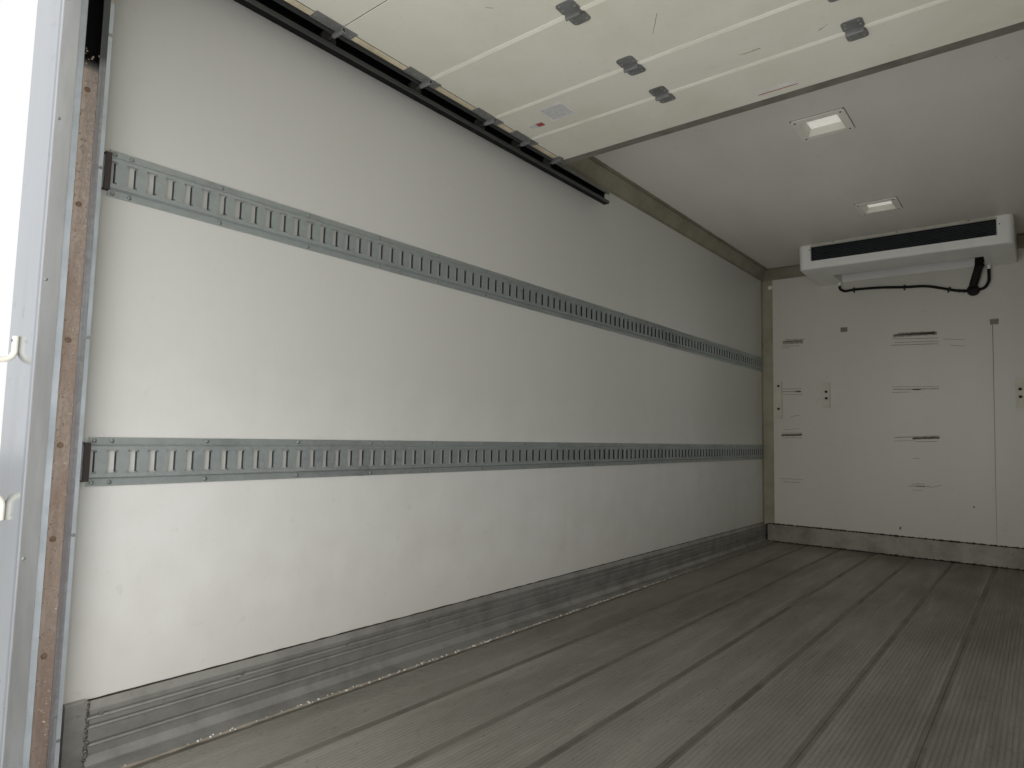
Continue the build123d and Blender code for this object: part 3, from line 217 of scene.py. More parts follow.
def group(name, inputs, outputs):
    """Empty shader group with the given inputs and number outputs, and its two end nodes."""
    tree = bpy.data.node_groups.new(name, "ShaderNodeTree")
    for label, kind, value in inputs:
        socket = tree.interface.new_socket(label, in_out="INPUT", socket_type=kind)
        socket.default_value = value
    for label in outputs:
        tree.interface.new_socket(label, in_out="OUTPUT", socket_type="NodeSocketFloat")
    return tree, tree.nodes.new("NodeGroupInput"), tree.nodes.new("NodeGroupOutput")


def node(tree, kind, links=(), **values):
    """Adds a shader node; each link fills a socket from another socket or with a plain value."""
    made = tree.nodes.new("ShaderNode" + kind)
    for key, value in values.items():
        setattr(made, key, value)
    for socket, source in links:
        if isinstance(source, bpy.types.NodeSocket):
            tree.links.new(source, made.inputs[socket])
        else:
            made.inputs[socket].default_value = source
    return made


FLOAT, VECTOR = "NodeSocketFloat", "NodeSocketVector"


def make_patches():
    """Soft uneven patches: stretched noise, mapped from Low..High to 0..1."""
    tree, given, result = group("patches", (("Size", FLOAT, 4.0), ("Stretch", VECTOR, (1, 1, 1)),
                                            ("Low", FLOAT, 0.45), ("High", FLOAT, 0.7)), ("Mask",))
    place = node(tree, "TexCoord")
    scaled = node(tree, "VectorMath", ((0, place.outputs["Object"]), (1, given.outputs["Stretch"])),
                  operation="MULTIPLY")
    noise = node(tree, "TexNoise", (("Vector", scaled.outputs[0]), ("Scale", given.outputs["Size"]),
                                    ("Detail", 6.0), ("Roughness", 0.62)))
    ranged = node(tree, "MapRange", (("Value", noise.outputs["Fac"]),
                                     ("From Min", given.outputs["Low"]),
                                     ("From Max", given.outputs["High"])), clamp=True)
    tree.links.new(ranged.outputs[0], result.inputs["Mask"])
    return tree


def make_spangle():
    """Zinc flakes: flat cells of random value, and their noise-broken height."""
    tree, given, result = group("spangle", (("Size", FLOAT, 90.0),), ("Flake", "Height"))
    place = node(tree, "TexCoord")
    bent = node(tree, "TexNoise", (("Vector", place.outputs["Object"]), ("Scale", 60.0)))
    mixed = node(tree, "VectorMath", ((0, bent.outputs["Color"]), (1, (0.012, 0.012, 0.012)),
                                      (2, place.outputs["Object"])), operation="MULTIPLY_ADD")
    cells = node(tree, "TexVoronoi", (("Vector", mixed.outputs[0]),
                                      ("Scale", given.outputs["Size"])))
    split = node(tree, "SeparateColor", ((0, cells.outputs["Color"]),))
    tree.links.new(split.outputs[0], result.inputs["Flake"])
    tree.links.new(bent.outputs["Fac"], result.inputs["Height"])
    return tree


def make_between():
    """0 at Low to 1 at High of |x|, |y| and |z| times Along, summed; Rough breaks up the edge."""
    tree, given, result = group("between", (("Along", VECTOR, (0, 0, 1)), ("Low", FLOAT, 0.0),
                                            ("High", FLOAT, 1.0), ("Rough", FLOAT, 0.0)),
                                ("Mask",))
    place = node(tree, "TexCoord")
    size = node(tree, "VectorMath", ((0, place.outputs["Object"]),), operation="ABSOLUTE")
    along = node(tree, "VectorMath", ((0, size.outputs[0]), (1, given.outputs["Along"])),
                 operation="DOT_PRODUCT")
    noise = node(tree, "TexNoise", (("Vector", place.outputs["Object"]), ("Scale", 7.0),
                                    ("Detail", 5.0)))
    shift = node(tree, "Math", ((0, noise.outputs["Fac"]), (1, 0.5)), operation="SUBTRACT")
    broken = node(tree, "Math", ((0, shift.outputs[0]), (1, given.outputs["Rough"]),
                                 (2, along.outputs["Value"])), operation="MULTIPLY_ADD")
    ranged = node(tree, "MapRange", (("Value", broken.outputs[0]),
                                     ("From Min", given.outputs["Low"]),
                                     ("From Max", given.outputs["High"])), clamp=True)
    tree.links.new(ranged.outputs[0], result.inputs["Mask"])
    return tree


def make_edges():
    """1 on worn edges: where the rounded normal leaves the flat one, broken by noise."""
    tree, given, result = group("edges", (("Width", FLOAT, 0.002), ("Size", FLOAT, 60.0)),
                                ("Mask",))
    soft = tree.nodes.new("ShaderNodeBevel")
    soft.samples = 4
    tree.links.new(given.outputs["Width"], soft.inputs["Radius"])
    flat = node(tree, "NewGeometry")
    match = node(tree, "VectorMath", ((0, soft.outputs[0]), (1, flat.outputs["Normal"])),
                 operation="DOT_PRODUCT")
    turn = node(tree, "MapRange", (("Value", match.outputs["Value"]), ("From Min", 0.995),
                                   ("From Max", 0.9)), clamp=True)
    place = node(tree, "TexCoord")
    noise = node(tree, "TexNoise", (("Vector", place.outputs["Object"]),
                                    ("Scale", given.outputs["Size"]), ("Detail", 4.0)))
    spots = node(tree, "MapRange", (("Value", noise.outputs["Fac"]), ("From Min", 0.4),
                                    ("From Max", 0.6)), clamp=True)
    both = node(tree, "Math", ((0, turn.outputs[0]), (1, spots.outputs[0])), operation="MULTIPLY")
    tree.links.new(both.outputs[0], result.inputs["Mask"])
    return tree


PATCHES, SPANGLE, BETWEEN, EDGES = make_patches(), make_spangle(), make_between(), make_edges()


def tone(code):
    """Linear colour of a six-figure sRGB code."""
    parts = [int(code[i:i + 2], 16) / 255 for i in (0, 2, 4)]
    return tuple(((v + 0.055) / 1.055) ** 2.4 if v > 0.04045 else v / 12.92
                 for v in parts) + (1.0,)


class Finish:
    """A material built from its base colour outwards: each layer mixes over the last."""

    def __init__(self, name, code, rough, metal=0.0, **plain):
        self.material = bpy.data.materials.new(name)
        self.material.use_nodes = True
        self.tree = self.material.node_tree
        self.shader = self.tree.nodes["Principled BSDF"]
        self.colour = tone(code)
        self.rough = rough
        self.shader.inputs["Metallic"].default_value = metal
        for label, value in plain.items():
            self.shader.inputs[label.replace("_", " ")].default_value = value
        self.heights = []

    def use(self, tree, **values):
        """Adds a shader group with these input values."""
        made = self.tree.nodes.new("ShaderNodeGroup")
        made.node_tree = tree
        for label, value in values.items():
            made.inputs[label].default_value = value
        return made

    def patches(self, size, stretch, low, high):
        """Mask of soft patches; a smaller stretch draws them out along that axis."""
        return self.use(PATCHES, Size=size, Stretch=stretch, Low=low, High=high).outputs["Mask"]

    def between(self, along, low, high, rough=0.0):
        """Mask of what lies past low, up to high; rough breaks up its edge."""
        made = self.use(BETWEEN, Along=along, Low=low, High=high, Rough=rough)
        return made.outputs["Mask"]

    def edges(self, width=0.002, size=60.0):
        """Mask of worn edges."""
        return self.use(EDGES, Width=width, Size=size).outputs["Mask"]

    def times(self, a, b):
        """Product of two masks, or of a mask and a number."""
        return node(self.tree, "Math", ((0, a), (1, b)), operation="MULTIPLY").outputs[0]

    def layer(self, mask, code, rough, amount=1.0):
        """Mixes a colour and a roughness, either one or both, over the last ones where the mask is 1."""
        if amount != 1.0:
            mask = self.times(mask, amount)
        if code:
            mixed = node(self.tree, "Mix", ((0, mask), (6, self.colour), (7, tone(code))),
                         data_type="RGBA")
            self.colour = mixed.outputs[2]
        if rough is not None:
            mixed = node(self.tree, "Mix", ((0, mask), (2, self.rough), (3, rough)))
            self.rough = mixed.outputs[0]

    def bump(self, height, distance, strength):
        """Adds a relief on top of those already there."""
        self.heights.append((height, distance, strength))

    def done(self):
        """Links the layers and the reliefs to the shader and returns the material."""
        for label, value in (("Base Color", self.colour), ("Roughness", self.rough)):
            socket = self.shader.inputs[label]
            if isinstance(value, bpy.types.NodeSocket):
                self.tree.links.new(value, socket)
            else:
                socket.default_value = value
        last = None
        for height, distance, strength in self.heights:
            made = node(self.tree, "Bump", (("Height", height), ("Distance", distance),
                                            ("Strength", strength)))
            if last:
                self.tree.links.new(last, made.inputs["Normal"])
            last = made.outputs[0]
        if last:
            self.tree.links.new(last, self.shader.inputs["Normal"])
        return self.material


def make_liner():
    """White glass-fibre skin: inside banded, soiled low down and greyer above as painted shade, glossy
    outside.
    """
    f = Finish("liner_white", "DDDDDA", 0.34, IOR=1.48)
    f.layer(f.patches(1.3, (1, 1, 0.12), 0.38, 0.66), "CFCEC9", 0.42, 0.5)
    f.layer(f.patches(9.0, (1, 1, 0.05), 0.5, 0.75), "D2D1CC", None, 0.4)
    f.layer(f.patches(26.0, (1, 1, 1), 0.63, 0.72), "BDB9AC", 0.5, 0.3)
    low = f.between((0, 0, -1), -FLOOR_Z - 0.62, -FLOOR_Z - 0.1, 0.5)
    f.layer(low, "C0BBAE", 0.5, 0.45)
    # painted shade: the upper part of the inside is greyed where it lies in shade
    high = f.between((0, 0, 1), 0.6, 1.4, 0.4)
    f.layer(high, "B8B7B0", None, 0.7)
    outside = f.between((0, 1, 0), WALL_Y + 0.02, WALL_Y + 0.03)
    f.layer(outside, "E8E8E6", 0.22)
    f.bump(f.patches(34.0, (1, 1, 0.3), 0.3, 0.7), 0.0006, 0.5)
    return f.done()


def make_bulkhead():
    """Front wall: yellowish glossy skin with soft streaks inside, white outside."""
    f = Finish("bulkhead_white", "C9C7BC", 0.28, IOR=1.5)
    f.layer(f.patches(1.6, (1, 1, 0.2), 0.4, 0.65), "BFBCAF", 0.34, 0.4)
    f.layer(f.patches(18.0, (1, 1, 1), 0.62, 0.72), "ADA799", 0.5, 0.25)
    f.layer(f.between((1, 0, 0), BULK_X + 0.02, BULK_X + 0.03), "E8E8E6", 0.22)
    f.bump(f.patches(22.0, (1, 1, 0.4), 0.3, 0.7), 0.0004, 0.4)
    return f.done()


def make_ceiling():
    """Roof: warm grey-white inside, drawn out along the length, white on top."""
    f = Finish("roof_white", "D3D1C8", 0.42, IOR=1.48)
    f.layer(f.patches(1.1, (0.4, 1, 1), 0.4, 0.65), "C2BFB3", 0.5, 0.6)
    f.layer(f.patches(22.0, (1, 1, 1), 0.64, 0.72), "A8A292", None, 0.3)
    outside = f.between((0, 0, 1), CEIL_Z + 0.01, CEIL_Z + 0.02)
    f.layer(outside, "E6E6E3", 0.3)
    f.bump(f.patches(30.0, (0.3, 1, 1), 0.3, 0.7), 0.0006, 0.5)
    return f.done()


def make_floor():
    """Aluminium planks, grey-brown with tracked dirt and bright scuffs along the ribs."""
    f = Finish("floor_metal", "96928A", 0.44, 0.5)
    f.layer(f.patches(2.2, (0.35, 1, 1), 0.38, 0.66), "6D695E", 0.56, 0.7)
    f.layer(f.patches(14.0, (0.08, 1, 1), 0.5, 0.7), "ABA79C", 0.36, 0.5)
    f.layer(f.patches(60.0, (0.6, 1, 1), 0.6, 0.7), "57534B", 0.7, 0.4)
    f.bump(f.patches(180.0, (0.15, 1, 1), 0.3, 0.7), 0.0004, 0.6)
    return f.done()


def zinc_base(name):
    """Galvanised sheet: flakes of two greys, darker clouds and small dark handling marks."""
    f = Finish(name, "989C9E", 0.4, 0.7)
    spangle = f.use(SPANGLE, Size=85.0)
    f.layer(spangle.outputs["Flake"], "BABEC0", 0.5, 0.6)
    f.layer(f.patches(9.0, (0.5, 1, 1), 0.52, 0.72), "777B7C", 0.6, 0.5)
    f.layer(f.patches(40.0, (1, 1, 1), 0.62, 0.7), "63615B", 0.7, 0.4)
    f.bump(spangle.outputs["Height"], 0.0004, 0.3)
    return f


def make_rail():
    """Rails in pale zinc, their rear end stops painted dark as the shade inside their open ends."""
    f = zinc_base("rail_zinc")
    f.layer(f.patches(3.0, (1, 1, 1), 0.3, 0.5), "B9C2C1", None, 0.6)
    # painted shade: the rear end stops are darkened for the shade inside the open channel ends
    f.layer(f.between((1, 0, 0), -REAR_X - 0.1679, -REAR_X - 0.1677), "57504F", 0.55)
    return f.done()


def make_track():
    """Track: grey lips; pale brown grit inside the upright run, lightened to paint the sunlight on it; the
    level run darkened with painted shade, black inside as painted shadow.
    """
    f = zinc_base("track_zinc")
    inside = f.between((0, 1, 0), WALL_Y - 0.079, WALL_Y - 0.077)
    f.layer(f.patches(60.0, (1, 1, 0.03), 0.4, 0.65), "8B8485", 0.5, 0.8)
    # brown grit inside the upright run; its colours are lightened nearly to white to paint the sunlight on
    # it
    f.layer(inside, "FBEEE4", 0.85)
    f.layer(f.times(inside, f.between((-1, 0, 0), REAR_X + 0.084, REAR_X + 0.089)), "E0D4C8", 0.8)
    f.layer(f.times(inside, f.patches(150.0, (1, 1, 0.6), 0.42, 0.6)), "FFF4EA", 0.9, 0.6)
    f.layer(f.times(inside, f.patches(9.0, (1, 1, 0.2), 0.48, 0.62)), "CDB3A1", 0.8, 0.6)
    # painted shade: the level run is darkened where it lies in shade
    level = f.between((0, 0, 1), TRACK_LOW, TRACK_LOW + 0.03, 0.02)
    f.layer(level, "5F6160", 0.55)
    # above the upper lip the painted shade is a lighter grey, where the lip catches more light
    f.layer(f.between((0, 0, 1), TRACK_LIP - 0.001, TRACK_LIP + 0.001), "7E8180", 0.5)
    # painted shadow: the inside of the level run is black
    f.layer(f.times(level, inside), "101011", 0.6)
    f.bump(f.patches(240.0, (1, 1, 1), 0.3, 0.7), 0.0008, 0.5)
    return f.done()


def make_bracket():
    """Bulkhead brackets: beige paint, the high hangers darker."""
    f = Finish("bracket_beige", "C9C5B4", 0.45)
    f.layer(f.between((0, 0, 1), 1.90, 1.91), "77736A", 0.5)
    f.layer(f.patches(9.0, (1, 1, 1), 0.45, 0.7), "A39D8B", 0.55, 0.5)
    f.layer(f.edges(0.003, 30.0), "6B675C", 0.6, 0.6)
    f.bump(f.patches(120.0, (1, 1, 1), 0.3, 0.7), 0.0004, 0.5)
    return f.done()


def make_polished():
    """Polished stainless steel, almost a mirror, duller on the inside and on the doorway's reveal."""
    f = Finish("polished_steel", "B4BAC0", 0.16, 1.0)
    f.layer(f.patches(55.0, (1, 1, 0.02), 0.4, 0.7), None, 0.26, 0.7)
    f.layer(f.patches(24.0, (1, 1, 1), 0.62, 0.7), "94969A", 0.36, 0.4)
    f.layer(f.patches(3.0, (1, 1, 0.5), 0.5, 0.75), "A3A5A6", 0.24, 0.5)
    leg = f.between((-1, 0, 0), REAR_X + 0.10, REAR_X + 0.11)
    f.layer(f.times(leg, f.between((0, 0, -1), -CEIL_Z, -CEIL_Z + 0.01)), "D6D0CD", 0.42)
    reveal = f.between((0, -1, 0), -DOOR_HALF - 0.0015, -DOOR_HALF - 0.0005)
    reveal = f.times(reveal, f.between((0, 0, 1), FLOOR_Z, FLOOR_Z + 0.01))
    f.layer(f.times(reveal, f.between((0, 0, -1), -HEADER_Z - 0.01, -HEADER_Z)), "E2E3E6", 0.5)
    f.layer(f.times(reveal, f.patches(12.0, (1, 1, 0.15), 0.42, 0.66)), "B7B8BA", 0.42, 0.6)
    return f.done()


def make_plain(name, code, rough, metal, second, grain, size, amount, depth=0.0004, worn=None,
               **more):
    """Base colour, soft patches of a second one, a fine grain and, where given, worn pale edges."""
    f = Finish(name, code, rough, metal, **more)
    f.layer(f.patches(size, (1, 1, 1), 0.42, 0.68), second, min(rough + 0.12, 0.9), amount)
    f.layer(f.patches(size * 9, (1, 1, 1), 0.62, 0.72), second, None, amount)
    if worn:
        f.layer(f.edges(), worn, rough, 0.8)
    f.bump(f.patches(grain, (1, 1, 1), 0.3, 0.7), depth, 0.5)
    return f.done()


# Finishes of the solids
LINER, BULKHEAD, CEILING = make_liner(), make_bulkhead(), make_ceiling()
FLOOR, ZINC, POLISHED = make_floor(), zinc_base("galvanised").done(), make_polished()
TRACK, RAILS = make_track(), make_rail()
EXTRUSION = make_plain("mill_aluminium", "A8A7A3", 0.42, 0.6, "7C7972", 160, 7, 0.6)
COVE = make_plain("cove_trim", "96917F", 0.45, 0.3, "706B5C", 90, 5, 0.6)
TRIM = make_plain("corner_trim", "A39E8A", 0.5, 0.2, "7F7965", 90, 5, 0.6)
DOOR = make_plain("door_cream", "D8D6C9", 0.42, 0.0, "C8C4B0", 60, 3, 0.5)
STILE = make_plain("door_edge", "D5CBB2", 0.45, 0.0, "A89E84", 60, 9, 0.6)
SEAL = make_plain("seal_rubber", "77736B", 0.75, 0.0, "4F4B44", 120, 9, 0.6, 0.0008)
BLACK_RUBBER = make_plain("black_rubber", "1C1C1C", 0.72, 0.0, "34322F", 140, 9, 0.5, 0.001)
HOSE = make_plain("hose_black", "0C0C0C", 0.6, 0.0, "1C1B1A", 140, 30, 0.5)
COVER = make_plain("cover_white", "E2E2DE", 0.3, 0.0, "CFCDC4", 240, 5, 0.4, 0.0003)
BEZEL = make_plain("bezel_white", "DCDAD0", 0.4, 0.0, "C6C2B3", 200, 9, 0.5, 0.0003)
BLACK_PLASTIC = make_plain("black_plastic", "17181A", 0.42, 0.0, "2A2A2A", 260, 12, 0.5, 0.0004)
SLATS = make_plain("slats_black", "141517", 0.45, 0.0, "1E2022", 200, 14, 0.5)
# the faint emission is painted light: a glow that brightens the milky lenses
LENS = make_plain("lens_milky", "E6E4DC", 0.28, 0.0, "D4D1C6", 300, 12, 0.4, 0.0005,
                  Emission_Color=tone("F1EFE6"), Emission_Strength=0.3)
RED_LENS = make_plain("lens_red", "9C1512", 0.16, 0.0, "6D0C0A", 420, 20, 0.4, 0.0008)
AMBER_LENS = make_plain("lens_amber", "D07A14", 0.16, 0.0, "A65A0A", 420, 20, 0.4, 0.0008)
UNDER_PAINT = make_plain("under_paint", "2A2B2D", 0.5, 0.0, "45413A", 90, 4, 0.6, 0.0006, "6A6358")
HANDLE = make_plain("handle_cream", "E4DFD2", 0.3, 0.0, "C6BEAB", 300, 14, 0.4)
BRACKET = make_bracket()
HINGE = make_plain("hinge_zinc", "8E8F8E", 0.5, 0.5, "666560", 110, 12, 0.6)
ROLLER = make_plain("roller_dark", "3E3C39", 0.5, 0.3, "5A5751", 140, 20, 0.5)
FRONT_KICK = make_plain("front_kick_metal", "A5A296", 0.45, 0.55, "78746A", 160, 7, 0.6)
CORE = make_plain("core_foam", "C9BE97", 0.8, 0.0, "A99F7B", 300, 9, 0.5, 0.001)

# Finishes of the added pieces, and the jambs
STRIP = make_plain("strip_grey", "BDBAAE", 0.42, 0.0, "A19E92", 240, 9, 0.5)
# mid grey: painted highlights on the evaporator slats' front edges
SLAT_HIGHLIGHT = make_plain("slat_edge", "5C6064", 0.4, 0.0, "3A3D40", 200, 14, 0.6)
JAMB = make_plain("jamb_metal", "C2C9CF", 0.32, 0.6, "989EA3", 200, 9, 0.6)
SEAM_METAL = make_plain("seam_metal", "7A766C", 0.45, 0.5, "55514A", 120, 5, 0.6)
RIVET = make_plain("rivet_zinc", "B4B7B4", 0.34, 0.85, "6E6F6B", 300, 40, 0.6)
# dark zinc: painted shade in the rail slots, and the colour of the hanging line
LIP = make_plain("lip_zinc", "565B5A", 0.5, 0.8, "2E302F", 200, 20, 0.6)
SEALANT = make_plain("sealant_grey", "8F887C", 0.7, 0.0, "6A6357", 160, 14, 0.7, 0.001)
CRUMB = make_plain("sealant_crumbs", "D9D5CC", 0.5, 0.0, "A79F90", 300, 40, 0.5)
# dark sealant; the same colour paints shade in the front kick plate's corners and along the side kick tops
DARK_SEALANT_AND_SHADE = make_plain("sealant_and_shade_dark", "2B2823", 0.75, 0.0, "4E483D", 120, 16, 0.6, 0.001)
WELD = make_plain("weld_metal", "8D8A84", 0.5, 0.7, "4A443B", 260, 30, 0.7, 0.001)
MARK = make_plain("rub_mark", "88847A", 0.55, 0.0, "A6A398", 90, 30, 0.9)
DARK_MARK = make_plain("rub_mark_dark", "4F4C45", 0.6, 0.0, "716E65", 90, 40, 0.8)
PLUG = make_plain("plug_white", "DEDBD0", 0.4, 0.0, "BDB8A8", 300, 20, 0.5)
DARK_STEEL = make_plain("dark_steel", "24211E", 0.5, 0.2, "43382E", 300, 40, 0.6)
SEAM_DARK = make_plain("seam_dark", "3B3A37", 0.6, 0.0, "59564F", 200, 14, 0.6)
PALE_EDGE = make_plain("pale_edge", "F0EEE2", 0.4, 0.0, "D9D4C0", 120, 7, 0.5)
STICKER = make_plain("sticker_white", "DFDDD8", 0.35, 0.0, "BDBAB2", 200, 18, 0.6)
STICKER_RED = make_plain("sticker_red", "A8483F", 0.4, 0.0, "8A5048", 200, 30, 0.6)
STICKER_GREY = make_plain("sticker_grey", "C6C6C6", 0.4, 0.0, "ADADAB", 200, 60, 0.6)
RUST = make_plain("rust_brown", "7A6148", 0.8, 0.0, "5A452F", 200, 30, 0.7)
BOLT = make_plain("bolt_brown", "A18A75", 0.7, 0.0, "7C6654", 200, 30, 0.7)
GRIT = make_plain("grit_brown", "D9C8B9", 0.85, 0.0, "A48F7C", 200, 30, 0.7)

DRESS = {
    LINER: ("left_wall", "right_wall"), BULKHEAD: ("front_wall",), CEILING: ("roof",),
    FLOOR: ("floor_planks",), CORE: ("floor_slab",),
    TRACK: ("door_tracks",), RAILS: ("cargo_rails",), ZINC: ("track_brackets", "counterbalance"),
    HINGE: ("door_hinges",), ROLLER: ("door_rollers",),
    POLISHED: ("rear_post_left", "rear_post_right", "rear_header", "rear_sill"),
    EXTRUSION: ("front_corner_posts", "side_kick_plates", "base_rails", "roof_rails"),
    JAMB: ("jamb_strips",), FRONT_KICK: ("front_kick_plate",),
    COVE: ("ceiling_coves",), TRIM: ("inner_corner_trims",), BRACKET: ("bulkhead_brackets",),
    DOOR: ("door_sections",), STILE: ("door_stiles",), SEAL: ("door_seals",),
    BEZEL: ("light_bezels",), LENS: ("light_lenses",),
    COVER: ("evap_housing", "cond_housing"), SLATS: ("evap_grille",),
    BLACK_PLASTIC: ("evap_shroud", "cond_shroud", "cond_grille", "hose_clips", "evap_fan_right",
                    "evap_fan_centre", "evap_fan_left", "cond_fan_right", "cond_fan_left"),
    HOSE: ("drain_hoses", "pipe_bundle"), UNDER_PAINT: ("long_sills", "cross_members"),
    RED_LENS: ("rear_lamps",), AMBER_LENS: ("side_lamps",), BLACK_RUBBER: ("dock_bumpers",),
    HANDLE: ("grab_handles",),
}


def dress_solids():
    """Puts each finish in every slot of its solids, which are otherwise left as they are."""
    for material, names in DRESS.items():
        for name in names:
            slots = nodes[name].data.materials
            if not slots:
                slots.append(material)
            for i in range(len(slots)):
                slots[i] = material


dress_solids()


# Detail pieces

def spread(start, stop, pitch):
    """Places from start towards stop, one pitch apart."""
    return np.arange(start, stop, pitch)


def in_rows(xs, ys, zs):
    """Every combination of the given x, y and z places."""
    return np.stack(np.meshgrid(np.atleast_1d(xs), np.atleast_1d(ys), np.atleast_1d(zs),
                                indexing="ij"), -1).reshape(-1, 3)


def box(x0, x1, y0, y1, z0, z1):
    """Block between two x, two y and two z values."""
    return prism_x([(y0, z0), (y1, z0), (y1, z1), (y0, z1)], x0, x1)


def span(side, near, far):
    """The y values of a stretch on one side, from near to far off the middle, low one first."""
    return sorted((side * near, side * far))


# Pan head with a dished recess: radius and height as shares of the head's radius
PAN_HEAD = np.array([(1.0, 0.0), (1.0, 0.25), (0.85, 0.45), (0.42, 0.52), (0.34, 0.2)])


def screw(radius):
    """Pan head of the given radius, ten-sided."""
    return turned(PAN_HEAD * radius, 10)


def bead(points, radius, rough, seed):
    """Uneven bead: the tube's radius swells and shrinks by the share rough, step by step."""
    swell = np.random.default_rng(seed).uniform(1 - rough, 1 + rough, len(points))
    return tube(points, radius * swell, 8)


def straight(start, end, count):
    """Points evenly spaced from start to end."""
    return np.linspace(start, end, count)


def bent_path(rows):
    """Straight runs whose corners are curves from share of the shorter run on either side."""
    steps, share = 8, 0.45
    p = np.asarray(rows, float)
    out = [p[:1]]
    t = np.linspace(0, 1, steps)[:, None]
    for a, b, c in zip(p, p[1:], p[2:]):
        reach = share * min(np.linalg.norm(b - a), np.linalg.norm(c - b))
        start = b + (a - b) / np.linalg.norm(a - b) * reach
        end = b + (c - b) / np.linalg.norm(c - b) * reach
        out.append((1 - t) ** 2 * start + 2 * t * (1 - t) * b + t ** 2 * end)
    return np.concatenate(out + [p[-1:]])


def evenly(points, pitch):
    """Points about one pitch apart on the same path, and how far along it each one lies."""
    length = np.concatenate([[0], np.cumsum(np.linalg.norm(np.diff(points, axis=0), axis=1))])
    at = np.linspace(0, length[-1], int(length[-1] / pitch) + 1)
    return np.column_stack([np.interp(at, length, points[:, i]) for i in range(3)]), at


def corrugated(rows, radius, pitch, depth):
    """Hose: radius + depth * |sin(pi s / pitch)| at the length s along the path."""
    path, at = evenly(bent_path(rows), pitch / 4)
    return tube(path, radius + depth * np.abs(np.sin(math.pi * at / pitch)), 12)


# Floor: ribs between smooth seams
PLANK_PITCH, PLANK_FIRST, SEAM = 0.254, 0.030, 0.026
RIBS, RIB_DOWN = 16, 0.0023
PLANK_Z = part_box("floor_planks")[0].z
SEAMS = [y for y in PLANK_FIRST + PLANK_PITCH * np.arange(-6, 6) if abs(y) < WALL_Y]


def rib_rows(y0, y1):
    """Top outline from y0 to y1: each rib rises steeply, is flat for half its pitch, and falls."""
    pitch = (y1 - y0) / max(1, round((y1 - y0) / ((PLANK_PITCH - SEAM) / RIBS)))
    starts = spread(y0, y1 - pitch / 2, pitch)
    share = np.array([(0.0, -RIB_DOWN), (0.2, 0.0), (0.68, 0.0), (0.88, -RIB_DOWN)])
    return [(start + u * pitch, FLOOR_Z + z) for start in starts for u, z in share]


def build_floor():
    """Each plank's ribs are one outline carried along X; between planks lies a grooved seam."""
    ribs = Piece("floor_ribs", FLOOR, "floor_metal")
    seams = Piece("floor_seams", SEAM_METAL, "floor_metal")
    edges = [-WALL_Y] + SEAMS + [WALL_Y]
    for low, high in zip(edges, edges[1:]):
        y0 = low + (SEAM / 2 if low > -WALL_Y else 0)
        y1 = high - (SEAM / 2 if high < WALL_Y else 0)
        top = rib_rows(y0, y1)
        outline = [(y0, PLANK_Z), (y1, PLANK_Z), (y1, top[-1][1])] + top[::-1]
        ribs.add(prism_x(outline, BAY_X, BULK_X))
    deep = FLOOR_Z - 0.003
    for y in SEAMS:
        half, gap = SEAM / 2, 0.0012
        seams.add(prism_x([(y - half, PLANK_Z), (y + half, PLANK_Z), (y + half, deep), (y + gap, deep),
                           (y, deep - 0.002), (y - gap, deep), (y - half, deep)], BAY_X, BULK_X))
    return ribs.done(), seams.done(replaces=("floor_planks",))


# Cargo rails: rivets, and at each slot's forward edge painted shade inside the slot and a painted
# highlight on its folded lip
RAIL_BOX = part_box("cargo_rails")
RAIL_HALF = 0.0635
RAIL_ZS = (RAIL_BOX[0].z + RAIL_HALF, RAIL_BOX[1].z - RAIL_HALF)
RAIL_X0 = REAR_X + 0.168
SLOT_X = spread(RAIL_X0 + 0.003, BULK_X - 0.036, 0.0508)
SLOT_HALF, WEB_IN = 0.0262, 0.0100
FLANGE_RIVET = 0.054


def build_rails():
    """Rivets in both flanges, and on each slot a dark strip of painted shade with a strip of painted
    highlight beside it.
    """
    rivets, lips = Piece("rail_rivets", RIVET, "galvanised"), Piece("rail_lip_shades", LIP, "galvanised")
    fold_highlights = Piece("rail_fold_highlights", RIVET, "galvanised")
    every = 6
    xs = np.concatenate([[RAIL_X0 + 0.012], SLOT_X[1:2], SLOT_X[every::every]])
    head = dome(0.0062, 0.0034, 10)
    for side in (-1, 1):
        foot = side * (WALL_Y - 0.003)
        places = [p for z in RAIL_ZS for p in in_rows(xs, foot, (z - FLANGE_RIVET, z + FLANGE_RIVET))]
        rivets.add(moved(head, places, (0, -side, 0), (0, 0, 1)))
        slots = in_rows(SLOT_X, side * (WALL_Y - WEB_IN), RAIL_ZS)
        # painted shade: a dark strip inside each slot at its folded edge
        lips.add(copied(box(0.0080, 0.0099, *span(side, 0, 0.0065), -SLOT_HALF, SLOT_HALF), slots))
        # painted highlight: a bright strip on each slot's folded lip
        fold_highlights.add(copied(box(0.0102, 0.0128, *span(-side, 0, 0.0009), -SLOT_HALF, SLOT_HALF), slots))
    return rivets.done(40), lips.done(), fold_highlights.done()


# Kick plates and their sealant
KICK_FACE = WALL_Y - 0.019
TOE_Y = WALL_Y - 0.031
FLANGE_Y, FLANGE_UP = TOE_Y - 0.062, 0.0018
FRONT_FACE = BULK_X - 0.006
KICK_SCREW_X, KICK_SCREW_PITCH, KICK_SCREW_UP = -2.703, 0.381, 0.124
FRONT_SCREW_Y, FRONT_SCREW_PITCH, FRONT_SCREW_UP = -1.034, 0.2325, 0.119


